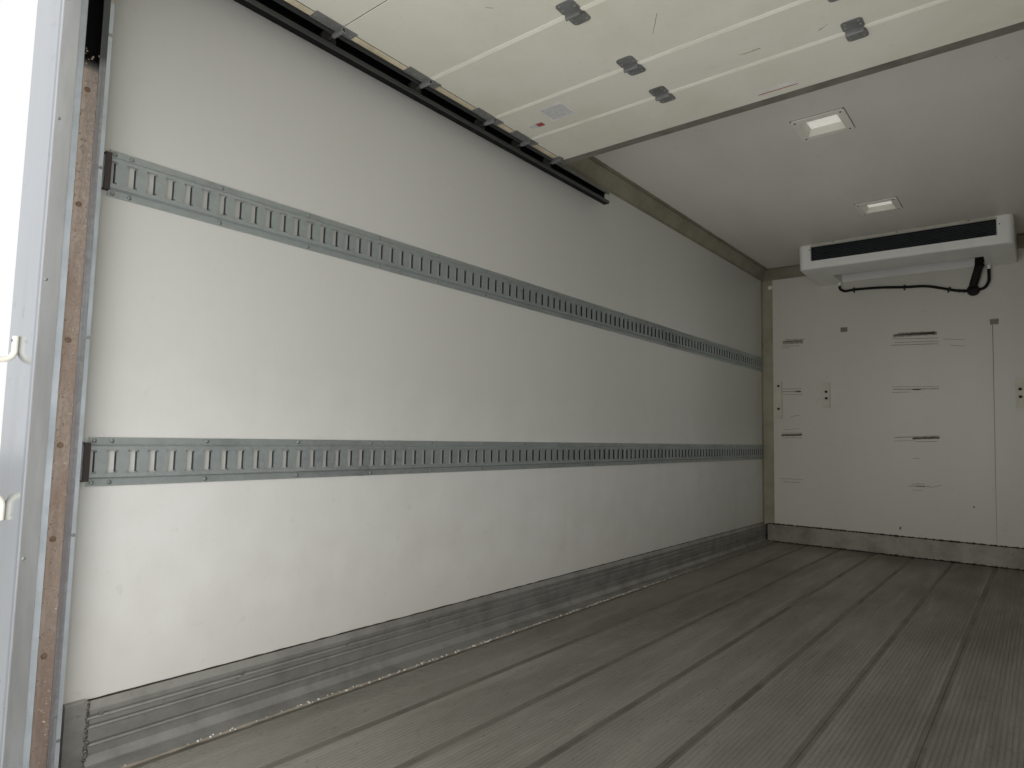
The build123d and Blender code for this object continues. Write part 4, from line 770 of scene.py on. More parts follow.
def build_kicks():
    """Screws of all kick plates; on the side ones toe flanges, sealant with crumbs, and end welds."""
    screws = Piece("kick_screws", RIVET, "aluminium_trim")
    beads = Piece("floor_sealant", SEALANT, "lining_trim")
    crumbs = Piece("sealant_crumbs", CRUMB, "lining_trim")
    welds = Piece("kick_welds", WELD, "aluminium_trim")
    flanges = Piece("toe_flanges", EXTRUSION, "aluminium_trim")
    rng = np.random.default_rng(5)
    bead_from, end = BAY_X + 0.05, BAY_X + 0.0505
    crumbs_from, thinning, count = BAY_X + 0.06, -0.4, 230
    for side in (-1, 1):
        inward = (0, -side, 0)
        xs = spread(KICK_SCREW_X, BULK_X, KICK_SCREW_PITCH)
        places = in_rows(xs, side * KICK_FACE, FLOOR_Z + KICK_SCREW_UP)
        screws.add(moved(screw(0.0062), places, inward, (0, 0, 1)))
        flanges.add(box(BAY_X + 0.051, BULK_X, *span(side, FLANGE_Y, TOE_Y),
                        FLOOR_Z - 0.003, FLOOR_Z + FLANGE_UP))
        edge = side * FLANGE_Y
        line = straight((bead_from, edge, FLOOR_Z), (BULK_X, edge, FLOOR_Z), 260)
        beads.add(bead(line, 0.0050, 0.4, 7 + side))
        x = (rng.uniform(crumbs_from, BULK_X, count) + rng.uniform(crumbs_from, thinning, count)) * 0.5
        y = side * (FLANGE_Y - rng.uniform(-0.006, 0.008, count))
        places = np.column_stack([x, y, np.full(count, FLOOR_Z + 0.003)])
        leaning = (0, -side * 0.5, 1)
        crumbs.add(moved(dome(0.0038, 0.0042, 6), places[::2], leaning))
        crumbs.add(moved(dome(0.0024, 0.003, 6), places[1::2], leaning))
        up = straight((end, side * (WALL_Y - 0.022), FLOOR_Z + 0.004),
                      (end, side * (WALL_Y - 0.016), FLOOR_Z + 0.160), 60)
        up[:, 0] += rng.uniform(-0.0015, 0.0030, 60) + 0.002 * np.sin(np.arange(60) * 0.7)
        welds.add(bead(up, 0.0042, 0.4, 3 + side))
    ys = spread(FRONT_SCREW_Y, KICK_FACE, FRONT_SCREW_PITCH)
    places = in_rows(FRONT_FACE, ys, FLOOR_Z + FRONT_SCREW_UP)
    screws.add(moved(screw(0.0072), places, (-1, 0, 0), (0, 0, 1)))
    return [piece.done(40) for piece in (screws, beads, crumbs, welds, flanges)]


def build_sealant_and_painted_shade():
    """Dark sealant beads over and under the front kick plate; dark beads of painted shade in its corners
    and along the tops of the side ones.
    """
    dark = Piece("front_sealant_and_shade", DARK_SEALANT_AND_SHADE, "lining_trim")
    half = TOE_Y - 0.004
    for z, x, r in ((FLOOR_Z + 0.151, BULK_X - 0.002, 0.0058), (FLOOR_Z, FRONT_FACE - 0.002, 0.0082)):
        dark.add(bead(straight((x, -half, z), (x, half, z), 240), r, 0.5, 11))
    # painted shade: dark beads up the front kick plate's corners
    for side in (-1, 1):
        x, y = BULK_X - 0.008, side * (KICK_FACE - 0.007)
        up = straight((x, y, FLOOR_Z + 0.002), (x, y, FLOOR_Z + 0.152), 40)
        dark.add(bead(up, 0.0070, 0.3, 17 + side))
    # painted shadow: a thin dark line where each side wall meets its kick plate's top
    for side in (-1, 1):
        y, z = side * (WALL_Y - 0.001), FLOOR_Z + 0.157
        dark.add(bead(straight((BAY_X + 0.05, y, z), (BULK_X, y, z), 200), 0.0026, 0.4, 13 + side))
    return dark.done(40)


# Bulkhead: rub marks, each from (y, z) to (y, z) with its height in millimetres
MARKS = (
    (0.972, 2.057, 0.803, 2.053, 32), (0.981, 2.029, 0.827, 2.020, 4), (0.977, 2.011, 0.910, 2.008, 3),
    (0.951, 2.081, 0.790, 2.074, 6), (0.128, 2.049, -0.165, 2.049, 26), (0.097, 2.062, -0.153, 2.054, 22),
    (0.136, 2.026, -0.174, 2.010, 4), (0.116, 1.996, -0.175, 1.986, 4), (0.144, 1.976, -0.170, 1.966, 5),
    (-0.203, 2.000, -0.343, 1.983, 3), (-0.246, 1.949, -0.342, 1.936, 3), (0.972, 1.652, 0.816, 1.650, 3),
    (0.976, 1.628, 0.820, 1.626, 6), (0.869, 1.627, 0.828, 1.629, 15), (0.960, 1.606, 0.812, 1.602, 3),
    (0.140, 1.646, -0.171, 1.639, 3), (0.137, 1.625, -0.168, 1.622, 6), (0.145, 1.601, 0.022, 1.602, 4),
    (0.988, 1.268, 0.820, 1.273, 4), (0.980, 1.228, 0.817, 1.233, 3), (0.138, 1.248, -0.165, 1.265, 6),
    (0.142, 1.220, -0.002, 1.228, 3), (-0.002, 1.220, -0.148, 1.223, 4), (0.014, 1.091, -0.032, 1.093, 3),
    (1.005, 0.879, 0.821, 0.882, 3), (0.984, 0.853, 0.841, 0.855, 4), (0.022, 0.894, -0.060, 0.900, 4),
    (0.047, 0.878, -0.092, 0.883, 5), (-0.092, 0.875, -0.165, 0.895, 3), (0.023, 0.849, -0.046, 0.850, 3),
    (0.969, 1.297, 0.846, 1.311, 2), (0.916, 1.409, 0.834, 1.426, 3))
DARK_MARKS = (
    (0.960, 2.066, 0.812, 2.062, 7), (0.120, 2.052, -0.150, 2.058, 8), (0.005, 1.621, -0.048, 1.621, 11),
    (0.988, 1.251, 0.820, 1.258, 16), (0.014, 1.243, -0.162, 1.252, 16), (-0.003, 0.879, -0.060, 0.881, 7))

# Millimetres added to each mark's height, and the number of places along it
MARK_EXTRA, MARK_STEPS = 1.5, 22


def stroke(row, rng, proud):
    """Band along a line; its half-height swells and shrinks at random, its ends stay blunt."""
    y0, z0, y1, z1, tall = row
    u = np.linspace(0, 1, MARK_STEPS)
    middle = z0 + (z1 - z0) * u
    half = (tall + MARK_EXTRA) / 2000
    up, down = (half * rng.uniform(0.72, 1.1, MARK_STEPS) for _ in range(2))
    y = y0 + (y1 - y0) * u
    low, top = np.column_stack([y, middle - down]), np.column_stack([y, middle + up])
    return prism_x(np.vstack([low, top[::-1]]), BULK_X - proud, BULK_X + 0.0002)


def build_marks():
    """Grey bands where loads rubbed the bulkhead, and the darker ones inside them."""
    rng = np.random.default_rng(21)
    soft = Piece("rub_marks", MARK, "panel_white")
    dark = Piece("dark_rub_marks", DARK_MARK, "panel_white")
    for row in MARKS:
        soft.add(stroke(row, rng, 0.0005))
    for row in DARK_MARKS:
        dark.add(stroke(row, rng, 0.0008))
    return soft.done(), dark.done()


def build_gussets():
    """Fillers where the side coves meet the bulkhead: they widen out from the corner as they rise."""
    piece = Piece("cove_gussets", COVE, "lining_trim")
    levels = ((0.092, 0.004, 0.004), (0.076, 0.004, 0.004), (0.012, 0.052, 0.052), (0.004, 0.052, 0.052))
    for side in (-1, 1):
        rings = []
        for down, back, inward in levels:
            x, y, z = BULK_X - back, WALL_Y - inward, CEIL_Z - down
            rings.append([(x, side * 1.067, z), (BULK_X, side * 1.067, z), (BULK_X, side * (y + 0.002), z),
                          (x, side * (y + 0.002), z)])
        piece.add(loft(rings))
    return piece.done()


BRACKET_HOLES = ((1.006, 1.479), (1.006, 1.678), (0.622, 1.564), (0.622, 1.618), (-0.654, 1.551),
                 (-0.654, 1.605))
CHIPS = ((-0.361, 0.752), (0.109, 0.556), (0.112, 0.545))


def build_bulkhead():
    """Corner plugs, bracket bolts, the hanging line and three chips; places as (y, z)."""
    plugs = Piece("corner_plugs", PLUG, "lining_trim")
    bolts = Piece("bracket_bolts", BLACK_RUBBER, "galvanised")
    line = Piece("hanging_line", LIP, "galvanised")
    chips = Piece("paint_chips", DARK_STEEL, "panel_white")
    back = (-1, 0, 0)
    button = turned([(0.019, 0), (0.019, 0.002), (0.016, 0.0035), (0.006, 0.004)], 20)
    plugs.add(moved(button, [(BULK_X - 0.003, side * 1.074, 2.556) for side in (-1, 1)], back))
    hexagon = turned([(0.0100, 0), (0.0100, 0.005), (0.0085, 0.007)], 6)
    bolts.add(moved(hexagon, [(BULK_X - 0.013, y, z) for y, z in BRACKET_HOLES], back))
    path = straight((BULK_X - 0.003, -0.509, 2.08), (BULK_X - 0.002, -0.488, 0.495), 24)
    line.add(tube(path, np.linspace(0.0014, 0.0005, 24), 6))
    spot = plate(rounded(0.014, 0.009, 0.004, 3), 0.0006, 0.0002)
    chips.add(moved(spot, [(BULK_X, y, z) for y, z in CHIPS], back, (0, 0.7, 1)))
    return [piece.done(40) for piece in (plugs, bolts, line, chips)]


# Evaporator: its face draws in by EVAP_LEAN from its top edge down to its foot
EVAP_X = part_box("evap_housing")[0].x
EVAP_TALL, EVAP_LEAN = 0.186, 0.014
EVAP_LOW = CEIL_Z - EVAP_TALL
LOUVRE_LOW, LOUVRE_TALL, SLAT_COUNT = EVAP_LOW + 0.0622, 0.1056, 9
LOUVRE_HALF = 0.575

# Hoses and the plug they end in, as distances off the bulkhead, across and down from the ceiling
SPOUT_DOWN = 0.222
PLUG_Y, PLUG_DOWN = -0.402, 0.367
LEFT_HOSE = (
    (0.034, 0.500, SPOUT_DOWN), (0.034, 0.500, SPOUT_DOWN + 0.024), (0.022, 0.468, SPOUT_DOWN + 0.046),
    (0.016, 0.408, SPOUT_DOWN + 0.038), (0.016, 0.290, 0.262), (0.016, 0.165, 0.270),
    (0.016, 0.040, 0.286), (0.016, -0.100, 0.292), (0.016, -0.205, 0.324), (0.016, -0.300, 0.356),
    (0.016, -0.368, 0.366))
RIGHT_HOSE = (
    (0.034, -0.500, SPOUT_DOWN), (0.034, -0.500, SPOUT_DOWN + 0.044),
    (0.026, -0.498, SPOUT_DOWN + 0.090), (0.020, -0.474, SPOUT_DOWN + 0.132),
    (0.016, -0.436, 0.364))


def face_strip(y0, y1, z0, z1, proud):
    """Strip lying on the evaporator's leaning face, from z0 to z1."""
    low, high = (EVAP_X + EVAP_LEAN * (CEIL_Z - z) / EVAP_TALL for z in (z0, z1))
    inner = 0.002
    return prism_y([(low - proud, z0), (low + inner, z0), (high + inner, z1), (high - proud, z1)], y0, y1)


def build_evaporator():
    """Ceiling strip with the pipe's stop, seams, grey painted highlights on the slats' front edges, and
    screws.
    """
    strip, seams = Piece("evap_strip", STRIP, "unit_white"), Piece("evap_seams", SEAM_DARK, "unit_white")
    edges = Piece("slat_edge_highlights", SLAT_HIGHLIGHT, "black_plastic")
    screws = Piece("evap_screws", DARK_STEEL, "unit_white")
    strip.add(box(EVAP_X - 0.010, EVAP_X + 0.012, -0.569, 0.569, CEIL_Z - 0.011, CEIL_Z - 0.0005))
    strip.add(box(EVAP_X - 0.003, EVAP_X + 0.004, -LOUVRE_HALF, LOUVRE_HALF,
                  CEIL_Z - 0.019, CEIL_Z - 0.011))
    stop = turned([(0.013, 0), (0.013, 0.003), (0.009, 0.005), (0.008, 0.001)], 16)
    strip.add(moved(stop, [(BULK_X - 0.0345, PLUG_Y, CEIL_Z - PLUG_DOWN)], (-1, 0, 0)))
    for side in (-1, 1):
        seams.add(face_strip(*span(side, 0.5772, 0.5790), EVAP_LOW + 0.062, CEIL_Z - 0.003, 0.0006))
    seams.add(face_strip(-LOUVRE_HALF, LOUVRE_HALF, LOUVRE_LOW - 0.0017, LOUVRE_LOW, 0.0008))
    # painted highlight: a thin grey strip along each slat's front edge
    x = EVAP_X + 0.012
    for z in LOUVRE_LOW + (np.arange(SLAT_COUNT) + 0.5) * LOUVRE_TALL / SLAT_COUNT:
        edges.add(box(x + 0.0003, x + 0.0012, -LOUVRE_HALF + 0.0005, LOUVRE_HALF - 0.0005,
                      z + 0.0036, z + 0.0060))
    places = [(EVAP_X - 0.010, y, CEIL_Z - 0.006) for y in (-0.426, -0.005, 0.416)]
    places += [(EVAP_X + 0.001, y, z) for y, z in ((0.586, 2.674), (-0.592, 2.6565))]
    screws.add(moved(screw(0.0042), places, (-1, 0, 0), (0, 0, 1)))
    return [strip.done(), seams.done(), edges.done(), screws.done(40)]


def build_hoses():
    """Corrugated hoses, two ties, and the pipe's tape rings and end plug."""
    hoses = Piece("corrugated_hoses", HOSE, "hose_rubber")
    for rows in (LEFT_HOSE, RIGHT_HOSE):
        path = [(BULK_X - off, y, CEIL_Z - down) for off, y, down in rows]
        hoses.add(corrugated(path, 0.0094, 0.0075, 0.0016))
    ties = Piece("hose_ties", BLACK_PLASTIC, "black_plastic")
    ring = turned([(0.0125, -0.004), (0.0142, -0.003), (0.0142, 0.003), (0.0125, 0.004)], 12)
    places = [(BULK_X - 0.016, y, CEIL_Z - down) for y, down in ((-0.318, 0.359), (-0.345, 0.363))]
    ties.add(moved(ring, places, (0, 1, 0.12), (1, 0, 0)))
    wraps = Piece("pipe_wraps", HOSE, "hose_rubber")
    band = turned([(0.0268, -0.010), (0.0292, -0.007), (0.0296, 0.0), (0.0292, 0.007),
                   (0.0268, 0.010)], 18)
    wraps.add(moved(band, [(BULK_X - 0.061, -0.447, CEIL_Z - down) for down in (0.125, 0.160, 0.196)]))
    plug = turned([(0.036, 0.0), (0.040, 0.003), (0.040, 0.009), (0.036, 0.012)], 24)
    wraps.add(moved(plug, [(BULK_X - off, PLUG_Y, CEIL_Z - PLUG_DOWN) for off in (0.013, 0.030)],
                    (-1, 0, 0)))
    return [hoses.done(50, ("drain_hoses",)), ties.done(40), wraps.done(40)]


# Ceiling lights: screws, lens prisms and a gasket line round each bezel
BEZEL_HALF = 0.1175
LIGHT_X = [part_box("light_bezels")[0].x + BEZEL_HALF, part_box("light_bezels")[1].x - BEZEL_HALF]


def build_lights():
    """Each lens has a row of small prisms, every one of them running along X."""
    screws = Piece("bezel_screws", DARK_STEEL, "lining_trim")
    prisms = Piece("lens_prisms", LENS, "lens_clear")
    gaskets = Piece("bezel_gaskets", DARK_SEALANT_AND_SHADE, "lining_trim")
    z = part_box("light_lenses")[0].z
    near, far = 0.104, 0.1188
    frame_sides = ((-far, far, near, far), (-far, far, -far, -near), (near, far, -near, near),
                   (-far, -near, -near, near))
    for x in LIGHT_X:
        places = in_rows((x - 0.099, x + 0.099), (-0.099, 0.099), CEIL_Z - 0.008)
        screws.add(moved(screw(0.0048), places, (0, 0, -1)))
        for y in spread(-0.064, 0.065, 0.008):
            ridge = [(y - 0.0038, z + 0.001), (y, z - 0.0022), (y + 0.0038, z + 0.001)]
            prisms.add(prism_x(ridge, x - 0.067, x + 0.067))
        for a, b, c, d in frame_sides:
            gaskets.add(box(x + a, x + b, c, d, CEIL_Z - 0.0012, CEIL_Z))
    return [piece.done(30) for piece in (screws, prisms, gaskets)]


# Door: joints between its sections, counted back from its front edge
SECTION_THICK = 0.036
DOOR_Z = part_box("door_sections")[1].z - SECTION_THICK
DOOR_FRONT = REAR_X + 2.123
DOOR_H = 2.042
SECTION_SHARE = (0.1582, 0.1224, 0.1832, 0.1949, 0.1910)
JOINTS = DOOR_FRONT - DOOR_H * np.cumsum(SECTION_SHARE)
DOOR_LAST = JOINTS[-1]
STRIP_ENDS = ((-0.005, 0.013),) * 3 + ((0.001, 0.004),) * 2
HINGE_Y, END_HINGE_Y = 0.340, 1.012
HINGE_SPOTS = ((0.026, 0.022), (0.026, -0.022), (0.048, 0.020), (0.048, -0.020))
STILE_REAR, STILE_FRONT = DOOR_LAST + 0.002, DOOR_FRONT - 0.051


def hinge_spots(x):
    """Rivet heads of the hinges across one joint; the last joint's show on its front leaf only."""
    z, middle, ends = DOOR_Z - 0.003, (-HINGE_Y, HINGE_Y), (-END_HINGE_Y, END_HINGE_Y)
    spots = [(x + dx, y + dy, z) for y in middle for dx, dy in HINGE_SPOTS]
    spots += [(x + dx, y, z) for y in ends for dx in (0.024, 0.046)]
    if x > DOOR_LAST:
        spots += [(x - dx, y - dy, z) for y in middle for dx, dy in HINGE_SPOTS]
        spots += [(x - dx, y, z) for y in ends for dx in (0.030, 0.060, 0.094)]
    return spots


def build_door():
    """Pale joint strips with a dark gap, hinge rivets, and ribs along the stiles."""
    strips = Piece("joint_strips", PALE_EDGE, "door_cream")
    gaps = Piece("joint_gaps", SEAM_DARK, "door_cream")
    rivets, ribs = Piece("hinge_rivets", RIVET, "galvanised"), Piece("stile_ribs", STILE, "door_edge")
    for x, (low, high) in zip(JOINTS, STRIP_ENDS):
        strips.add(box(x + low, x + high, -0.998, 0.998, DOOR_Z - 0.0011, DOOR_Z + 0.002))
        gaps.add(box(x - 0.0014, x + 0.0014, -0.998, 0.998, DOOR_Z - 0.0003, DOOR_Z + 0.004))
        rivets.add(moved(dome(0.0042, 0.0022, 8), hinge_spots(x), (0, 0, -1)))
    for side in (-1, 1):
        for y in (1.0045, 1.011, 1.0175, 1.0235):
            ribs.add(box(STILE_REAR, STILE_FRONT, *span(side, y - 0.0014, y + 0.0014),
                         DOOR_Z - 0.0016, DOOR_Z + 0.001))
        gaps.add(box(STILE_REAR, STILE_FRONT, *span(side, 0.9965, 0.9995),
                     DOOR_Z - 0.0005, DOOR_Z + 0.001))
    return [strips.done(), gaps.done(), rivets.done(40), ribs.done()]


# Stickers and their printed fields: middle x and y, length along X, width along Y
STICKERS = ((-1.272, 0.748, 0.118, 0.128), (-1.224, 0.889, 0.046, 0.080), (-0.922, -0.028, 0.036, 0.150))
GREY_FIELDS = ((-1.272, 0.748, 0.094, 0.104), (-1.222, 0.906, 0.030, 0.034))
RED_FIELDS = ((-1.222, 0.870, 0.030, 0.034), (-0.910, -0.028, 0.006, 0.146))

# Scratches: bundles of strokes from (x, y) to (x, y), and how many
SCRATCHES = ((-1.763, 0.900, -1.758, 0.839, 8), (-1.215, 0.032, -1.221, -0.087, 5),
             (-1.194, -0.233, -1.226, -0.286, 3), (-1.50, 0.20, -1.62, 0.12, 2),
             (-1.95, 0.55, -1.88, 0.47, 2))


def add_labels(piece, rows, radius, steps, thick, z):
    """Flat plates with rounded corners, facing down from the door, one per row."""
    for x, y, long, wide in rows:
        shape = plate(rounded(long, wide, radius, steps), thick, 0.0001)
        piece.add(moved(shape, (x, y, z), (0, 0, -1)))


def build_stickers():
    """Blank stickers with plain fields, and a few scratches, on the door's inner face."""
    white = Piece("stickers", STICKER, "door_cream")
    red = Piece("sticker_bars", STICKER_RED, "door_cream")
    grey = Piece("sticker_fields", STICKER_GREY, "door_cream")
    scratches = Piece("door_scratches", RUST, "door_cream")
    paper = DOOR_Z - 0.0001
    add_labels(white, STICKERS, 0.006, 3, 0.0004, paper)
    add_labels(red, RED_FIELDS, 0.002, 2, 0.0002, paper - 0.0004)
    add_labels(grey, GREY_FIELDS, 0.002, 2, 0.0002, paper - 0.0004)
    rng = np.random.default_rng(33)
    steps = 8
    u = np.linspace(0, 1, steps)
    for x0, y0, x1, y1, count in SCRATCHES:
        for _ in range(count):
            a, b = sorted(rng.uniform(0, 1, 2))
            x = x0 + (x1 - x0) * (a + (b - a) * u) + rng.uniform(-0.004, 0.004)
            x += rng.uniform(-0.001, 0.001, steps)
            y = y0 + (y1 - y0) * (a + (b - a) * u)
            scratches.add(tube(np.column_stack([x, y, np.full(steps, DOOR_Z)]), 0.0007, 4))
    return [piece.done() for piece in (white, red, grey, scratches)]


# Jambs: track bolts, lining screws, reveal rivets, handle screws and grit
TRACK_X, LIP_Y, WEB_Y = REAR_X + 0.086, WALL_Y - 0.083, WALL_Y - 0.0515
BOLT_Z = (0.645, 0.920, 1.146, 1.405, 1.75, 2.05)
LINING_SCREW_Z = (0.450, 0.93, 1.414, 1.848, 2.20)
REVEAL_RIVET_Z = (0.893, 1.532, 1.921, 2.22)
HANDLE_FOOT_Z = (0.980, 1.394)


def build_jambs():
    """Heads in upright rows, and grit strewn evenly over the track's web."""
    bolts, screws = Piece("track_bolts", BOLT, "galvanised"), Piece("jamb_screws", RIVET, "galvanised")
    rivets = Piece("reveal_rivets", RIVET, "polished_steel")
    feet = Piece("handle_screws", RIVET, "handle_white")
    grit = Piece("track_grit", GRIT, "galvanised")
    rng = np.random.default_rng(8)
    count = 520
    for side in (-1, 1):
        inward = (0, -side, 0)
        places = in_rows(TRACK_X + 0.004, side * WEB_Y, BOLT_Z)
        bolts.add(moved(dome(0.0075, 0.004, 10), places, inward, (0, 0, 1)))
        places = in_rows(TRACK_X + 0.0366, side * LIP_Y, LINING_SCREW_Z)
        screws.add(moved(screw(0.0046), places, inward, (0, 0, 1)))
        spots = np.column_stack([TRACK_X + rng.uniform(-0.024, 0.026, count),
                                 np.full(count, side * WEB_Y), rng.uniform(FLOOR_Z + 0.02, 2.16, count)])
        grit.add(moved(dome(0.0030, 0.0022, 5), spots[::2], inward, (0, 0, 1)))
        grit.add(moved(dome(0.0018, 0.0016, 5), spots[1::2], inward, (0, 0, 1)))
        places = in_rows(REAR_X + 0.014, side * (WALL_Y - 0.127), REVEAL_RIVET_Z)
        rivets.add(moved(dome(0.0042, 0.002, 10), places, inward))
        places = in_rows(REAR_X - 0.0125, side * (SIDE_Y - 0.085), HANDLE_FOOT_Z)
        feet.add(moved(screw(0.0042), places, (-1, 0, 0)))
    return [piece.done(40) for piece in (bolts, screws, rivets, feet, grit)]


# Outside: rivet rows, bumper bolts and the rubber rings round the lamps
RIVET_PITCH = 0.1016
SILL_LAMP_Y = (-0.900, -0.700, 0.700, 0.900)
HEADER_LAMP_Y = (-1.100, -0.180, 0.0, 0.180, 1.100)


def oval_ring(centre, long, tall, thick):
    """Ring round an oval lamp on the rear face: a bead carried round a slot outline and closed."""
    count, sides = 32, 8
    t = np.arange(count) * 2 * math.pi / count
    r = tall / 2 + thick / 2
    y = np.sign(np.cos(t)) * (long - tall) / 2 + r * np.cos(t)
    path = np.column_stack([np.full(count, centre[0]), centre[1] + y, centre[2] + r * np.sin(t)])
    b = np.arange(sides) * 2 * math.pi / sides
    out = path - centre
    out /= np.linalg.norm(out, axis=1)[:, None]
    rings = path[:, None] + thick / 2 * (np.cos(b)[None, :, None] * out[:, None]
                                         + np.sin(b)[None, :, None] * np.array([1.0, 0, 0]))
    faces = np.array(quads(count + 1, sides)) % (count * sides)
    return rings.reshape(-1, 3), faces.tolist()


def build_outside():
    """Rivets one pitch apart along the rails, the nose's edges and behind the rear frame."""
    rivets = Piece("rail_row_rivets", RIVET, "aluminium_trim")
    bolts = Piece("bumper_bolts", DARK_STEEL, "galvanised")
    grommets = Piece("lamp_grommets", BLACK_RUBBER, "black_rubber")
    base, top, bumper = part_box("base_rails"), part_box("roof_rails"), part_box("dock_bumpers")[0]
    xs = spread(BAY_X + 0.05, BULK_X, RIVET_PITCH)
    zs = spread(FLOOR_Z + 0.05, CEIL_Z - 0.02, RIVET_PITCH)
    head = dome(0.0052, 0.0026, 8)
    bolt = turned([(0.017, 0), (0.017, 0.0012), (0.011, 0.0016), (0.0105, 0.0055), (0.009, 0.007)], 6)
    for side in (-1, 1):
        out = (0, side, 0)
        rivets.add(moved(head, in_rows(xs, side * base[1].y, (base[1].z - 0.018, base[0].z + 0.045)), out))
        rivets.add(moved(head, in_rows(xs, side * top[1].y, top[0].z + 0.018), out))
        rivets.add(moved(head, in_rows(xs, side * (SIDE_Y - 0.070), top[1].z)))
        rivets.add(moved(head, in_rows(NOSE_X, side * (WALL_Y - 0.012), zs), (1, 0, 0)))
        rivets.add(moved(head, in_rows(REAR_X + 0.13, side * SIDE_Y, zs), out))
        places = in_rows(bumper.x, side * (SIDE_Y - 0.055), (bumper.z + 0.035, bumper.z + 0.125))
        bolts.add(moved(bolt, places, (-1, 0, 0)))
    sill_z, header_z = (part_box("rear_sill")[0].z + FLOOR_Z) / 2, (CEIL_Z + TOP_Z) / 2
    for y in SILL_LAMP_Y:
        grommets.add(oval_ring((REAR_X, y, sill_z), 0.165, 0.058, 0.010))
    for y in HEADER_LAMP_Y:
        grommets.add(oval_ring((REAR_X, y, header_z), 0.064, 0.024, 0.006))
    return [rivets.done(40), bolts.done(40), grommets.done(40)]


def build_unit():
    """Condensing unit: seams, latches, side vents and screws."""
    low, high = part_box("cond_housing")
    seams = Piece("unit_seams", SEAM_DARK, "unit_white")
    vents = Piece("unit_vents", BLACK_PLASTIC, "black_plastic")
    latches = Piece("unit_latches", BLACK_RUBBER, "black_plastic")
    screws = Piece("unit_screws", RIVET, "unit_white")
    back, front = high.x - 0.001, high.x + 0.0006
    for y in (-0.001, 0.001):
        seams.add(box(back, front, y - 0.0008, y + 0.0008, low.z + 0.14, high.z - 0.06))
    seams.add(box(back, front, -0.69, 0.69, low.z + 0.139, low.z + 0.1405))
    for side in (-1, 1):
        y0, y1 = span(side, high.y - 0.001, high.y + 0.0006)
        seams.add(box(low.x + 0.11, low.x + 0.112, y0, y1, low.z + 0.02, high.z - 0.02))
        y0, y1 = span(side, high.y - 0.002, high.y + 0.003)
        for z in spread(low.z + 0.12, low.z + 0.42, 0.026):
            slat = [(y0, z), (y1, z - 0.005), (y1, z + 0.003), (y0, z + 0.013)]
            vents.add(prism_x(slat, low.x + 0.17, low.x + 0.37))
        y0, y1 = span(side, high.y - 0.002, high.y + 0.010)
        for z in (low.z + 0.07, high.z - 0.09):
            latches.add(box(low.x + 0.09, low.x + 0.135, y0, y1, z - 0.012, z + 0.012))
        places = in_rows(low.x + 0.02, side * high.y, spread(low.z + 0.05, high.z, 0.125))
        screws.add(moved(screw(0.005), places, (0, side, 0), (0, 0, 1)))
    places = in_rows(high.x, (-0.66, -0.02, 0.02, 0.66), (low.z + 0.16, high.z - 0.075))
    screws.add(moved(screw(0.005), places, (1, 0, 0), (0, 0, 1)))
    return [piece.done(40) for piece in (seams, vents, latches, screws)]


MEMBER_PITCH, MEMBER_COUNT = 0.305, 18


def build_under():
    """Bolts where the cross members stand on the long sills."""
    bolts = Piece("sill_bolts", DARK_STEEL, "under_paint")
    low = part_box("cross_members")[0]
    xs = low.x + 0.030 + MEMBER_PITCH * np.arange(MEMBER_COUNT)
    hexagon = turned([(0.012, 0), (0.012, 0.008), (0.010, 0.010)], 6)
    for dx in (-0.018, 0.018):
        for y in (-0.405, 0.405):
            bolts.add(moved(hexagon, in_rows(xs + dx, y, low.z + 0.007)))
    return bolts.done()


build_floor()
build_rails()
build_kicks()
build_sealant_and_painted_shade()
build_marks()
build_gussets()
build_bulkhead()
build_evaporator()
build_hoses()
build_lights()
build_door()
build_stickers()
build_jambs()
build_outside()
build_unit()
build_under()


# Stage, light and camera

def add_floor():
    """Pale ground plane under the body, for the stage only."""
    mesh = bpy.data.meshes.new("stage_floor")
    reach = 30.0
    mesh.from_pydata([(-reach, -reach, 0), (reach, -reach, 0), (reach, reach, 0),
                      (-reach, reach, 0)], [], [(0, 1, 2, 3)])
    floor = bpy.data.objects.new("stage_floor", mesh)
    bpy.context.scene.collection.objects.link(floor)
    paint = bpy.data.materials.new("stage_paint")
    paint.use_nodes = True
    shader = paint.node_tree.nodes["Principled BSDF"]
    shader.inputs["Base Color"].default_value = tone("EEEEEC")
    shader.inputs["Roughness"].default_value = 0.8
    mesh.materials.append(paint)


def add_world():
    """White to the camera and in reflections, a soft grey-white light on the object."""
    world = bpy.data.worlds.new("studio")
    bpy.context.scene.world = world
    world.use_nodes = True
    tree = world.node_tree
    tree.nodes.clear()
    seen = node(tree, "Background", (("Color", (1, 1, 1, 1)), ("Strength", 1.0)))
    light = node(tree, "Background", (("Color", (1, 1, 1, 1)), ("Strength", 0.75)))
    path = node(tree, "LightPath")
    shown = node(tree, "Math", ((0, path.outputs["Is Camera Ray"]),
                                (1, path.outputs["Is Glossy Ray"])), operation="MAXIMUM")
    shown = node(tree, "Math", ((0, shown.outputs[0]),
                                (1, path.outputs["Is Transmission Ray"])), operation="MAXIMUM")
    mixed = tree.nodes.new("ShaderNodeMixShader")
    tree.links.new(shown.outputs[0], mixed.inputs[0])
    tree.links.new(light.outputs[0], mixed.inputs[1])
    tree.links.new(seen.outputs[0], mixed.inputs[2])
    out = tree.nodes.new("ShaderNodeOutputWorld")
    tree.links.new(mixed.outputs[0], out.inputs[0])


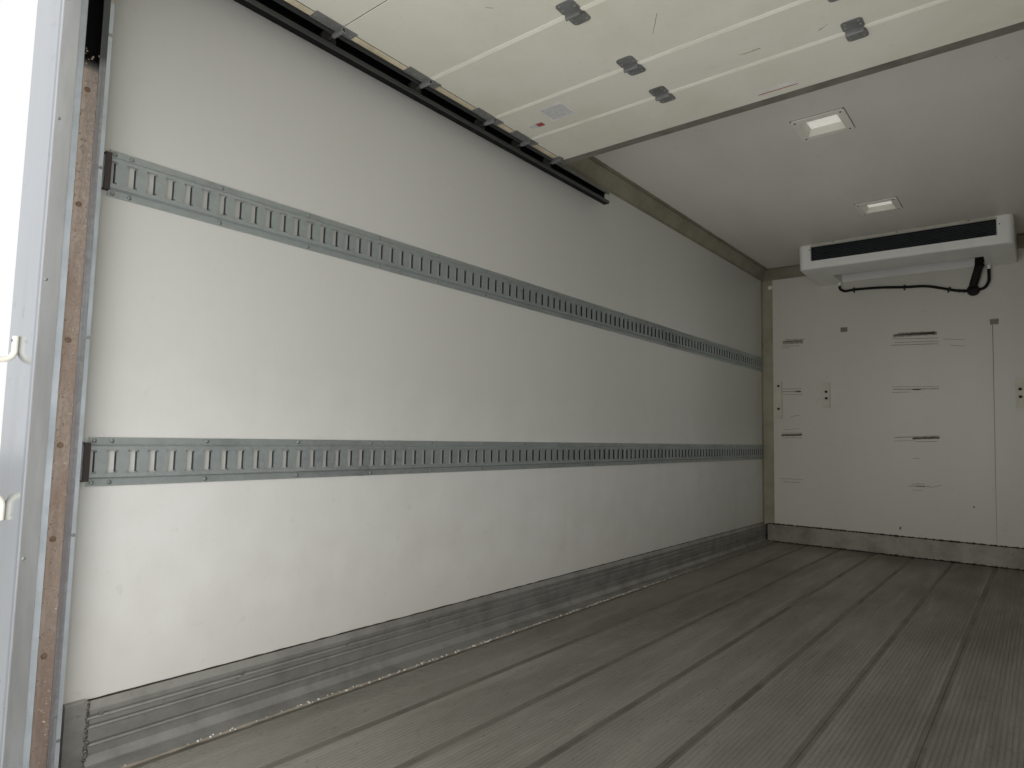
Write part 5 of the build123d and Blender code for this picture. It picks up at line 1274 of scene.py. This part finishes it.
def area(name, place, toward, width, height, watts, hidden=True):
    """Rectangular lamp at a place, shining toward a direction; hidden ones are not reflected."""
    lamp = bpy.data.lights.new(name, "AREA")
    lamp.shape, lamp.size, lamp.size_y, lamp.energy = "RECTANGLE", width, height, watts
    holder = bpy.data.objects.new(name, lamp)
    bpy.context.scene.collection.objects.link(holder)
    back = -np.asarray(toward, float)
    back /= np.linalg.norm(back)
    nearly_up = (0, 0.001, 1.0)
    side = np.cross(nearly_up, back)
    side /= np.linalg.norm(side)
    up = np.cross(back, side)
    matrix = np.eye(4)
    matrix[:3, :3] = np.column_stack([side, up, back])
    matrix[:3, 3] = place
    holder.matrix_world = Matrix(matrix.tolist())
    holder.visible_camera = False
    holder.visible_glossy = not hidden


def ball(name, place, radius, watts):
    """Soft round lamp that neither the camera nor a reflection sees."""
    lamp = bpy.data.lights.new(name, "POINT")
    lamp.shadow_soft_size, lamp.energy = radius, watts
    holder = bpy.data.objects.new(name, lamp)
    bpy.context.scene.collection.objects.link(holder)
    holder.location = place
    holder.visible_camera = holder.visible_glossy = False


# Places and watts of the dim lamps inside
INNER_LIGHTS = (((-1.9, -0.25, 1.45), 3.9), ((-0.6, -0.25, 1.45), 3.9), ((0.7, 0.20, 1.70), 3.5),
                ((1.8, -0.25, 1.45), 0.5))


def add_lights():
    """A soft light in the doorway, four dim balls along the inside and one big lamp above."""
    area("doorway_light", (REAR_X - 0.25, 0.0, 1.10), (1, 0, 0.0), 2.0, 1.5, 25)
    for number, (place, watts) in enumerate(INNER_LIGHTS):
        ball("inner_light_%d" % number, place, 0.42, watts)
    area("top_light", (-1.0, -2.0, 7.0), (0.1, 0.2, -1), 6.0, 6.0, 160, False)


def add_camera():
    """Stands just behind the rear frame, right of the middle, at the photograph's angle."""
    yaw, pitch, roll = (math.radians(v) for v in (39.168, 4.543, 1.287))
    ahead = np.array([math.cos(yaw) * math.cos(pitch), math.sin(yaw) * math.cos(pitch),
                      math.sin(pitch)])
    right = np.array([math.sin(yaw), -math.cos(yaw), 0.0])
    up = np.cross(right, ahead)
    c, s = math.cos(roll), math.sin(roll)
    matrix = np.eye(4)
    matrix[:3, :3] = np.column_stack([c * right + s * up, c * up - s * right, -ahead])
    matrix[:3, 3] = (-3.398, -0.776, 1.193)
    camera = bpy.data.cameras.new("photo_camera")
    camera.sensor_width, camera.lens = 36.0, 22.98
    camera.clip_start = 0.02
    holder = bpy.data.objects.new("photo_camera", camera)
    bpy.context.scene.collection.objects.link(holder)
    holder.matrix_world = Matrix(matrix.tolist())
    bpy.context.scene.camera = holder


add_floor()
add_world()
add_lights()
add_camera()
bpy.context.scene.view_settings.view_transform = "Standard"
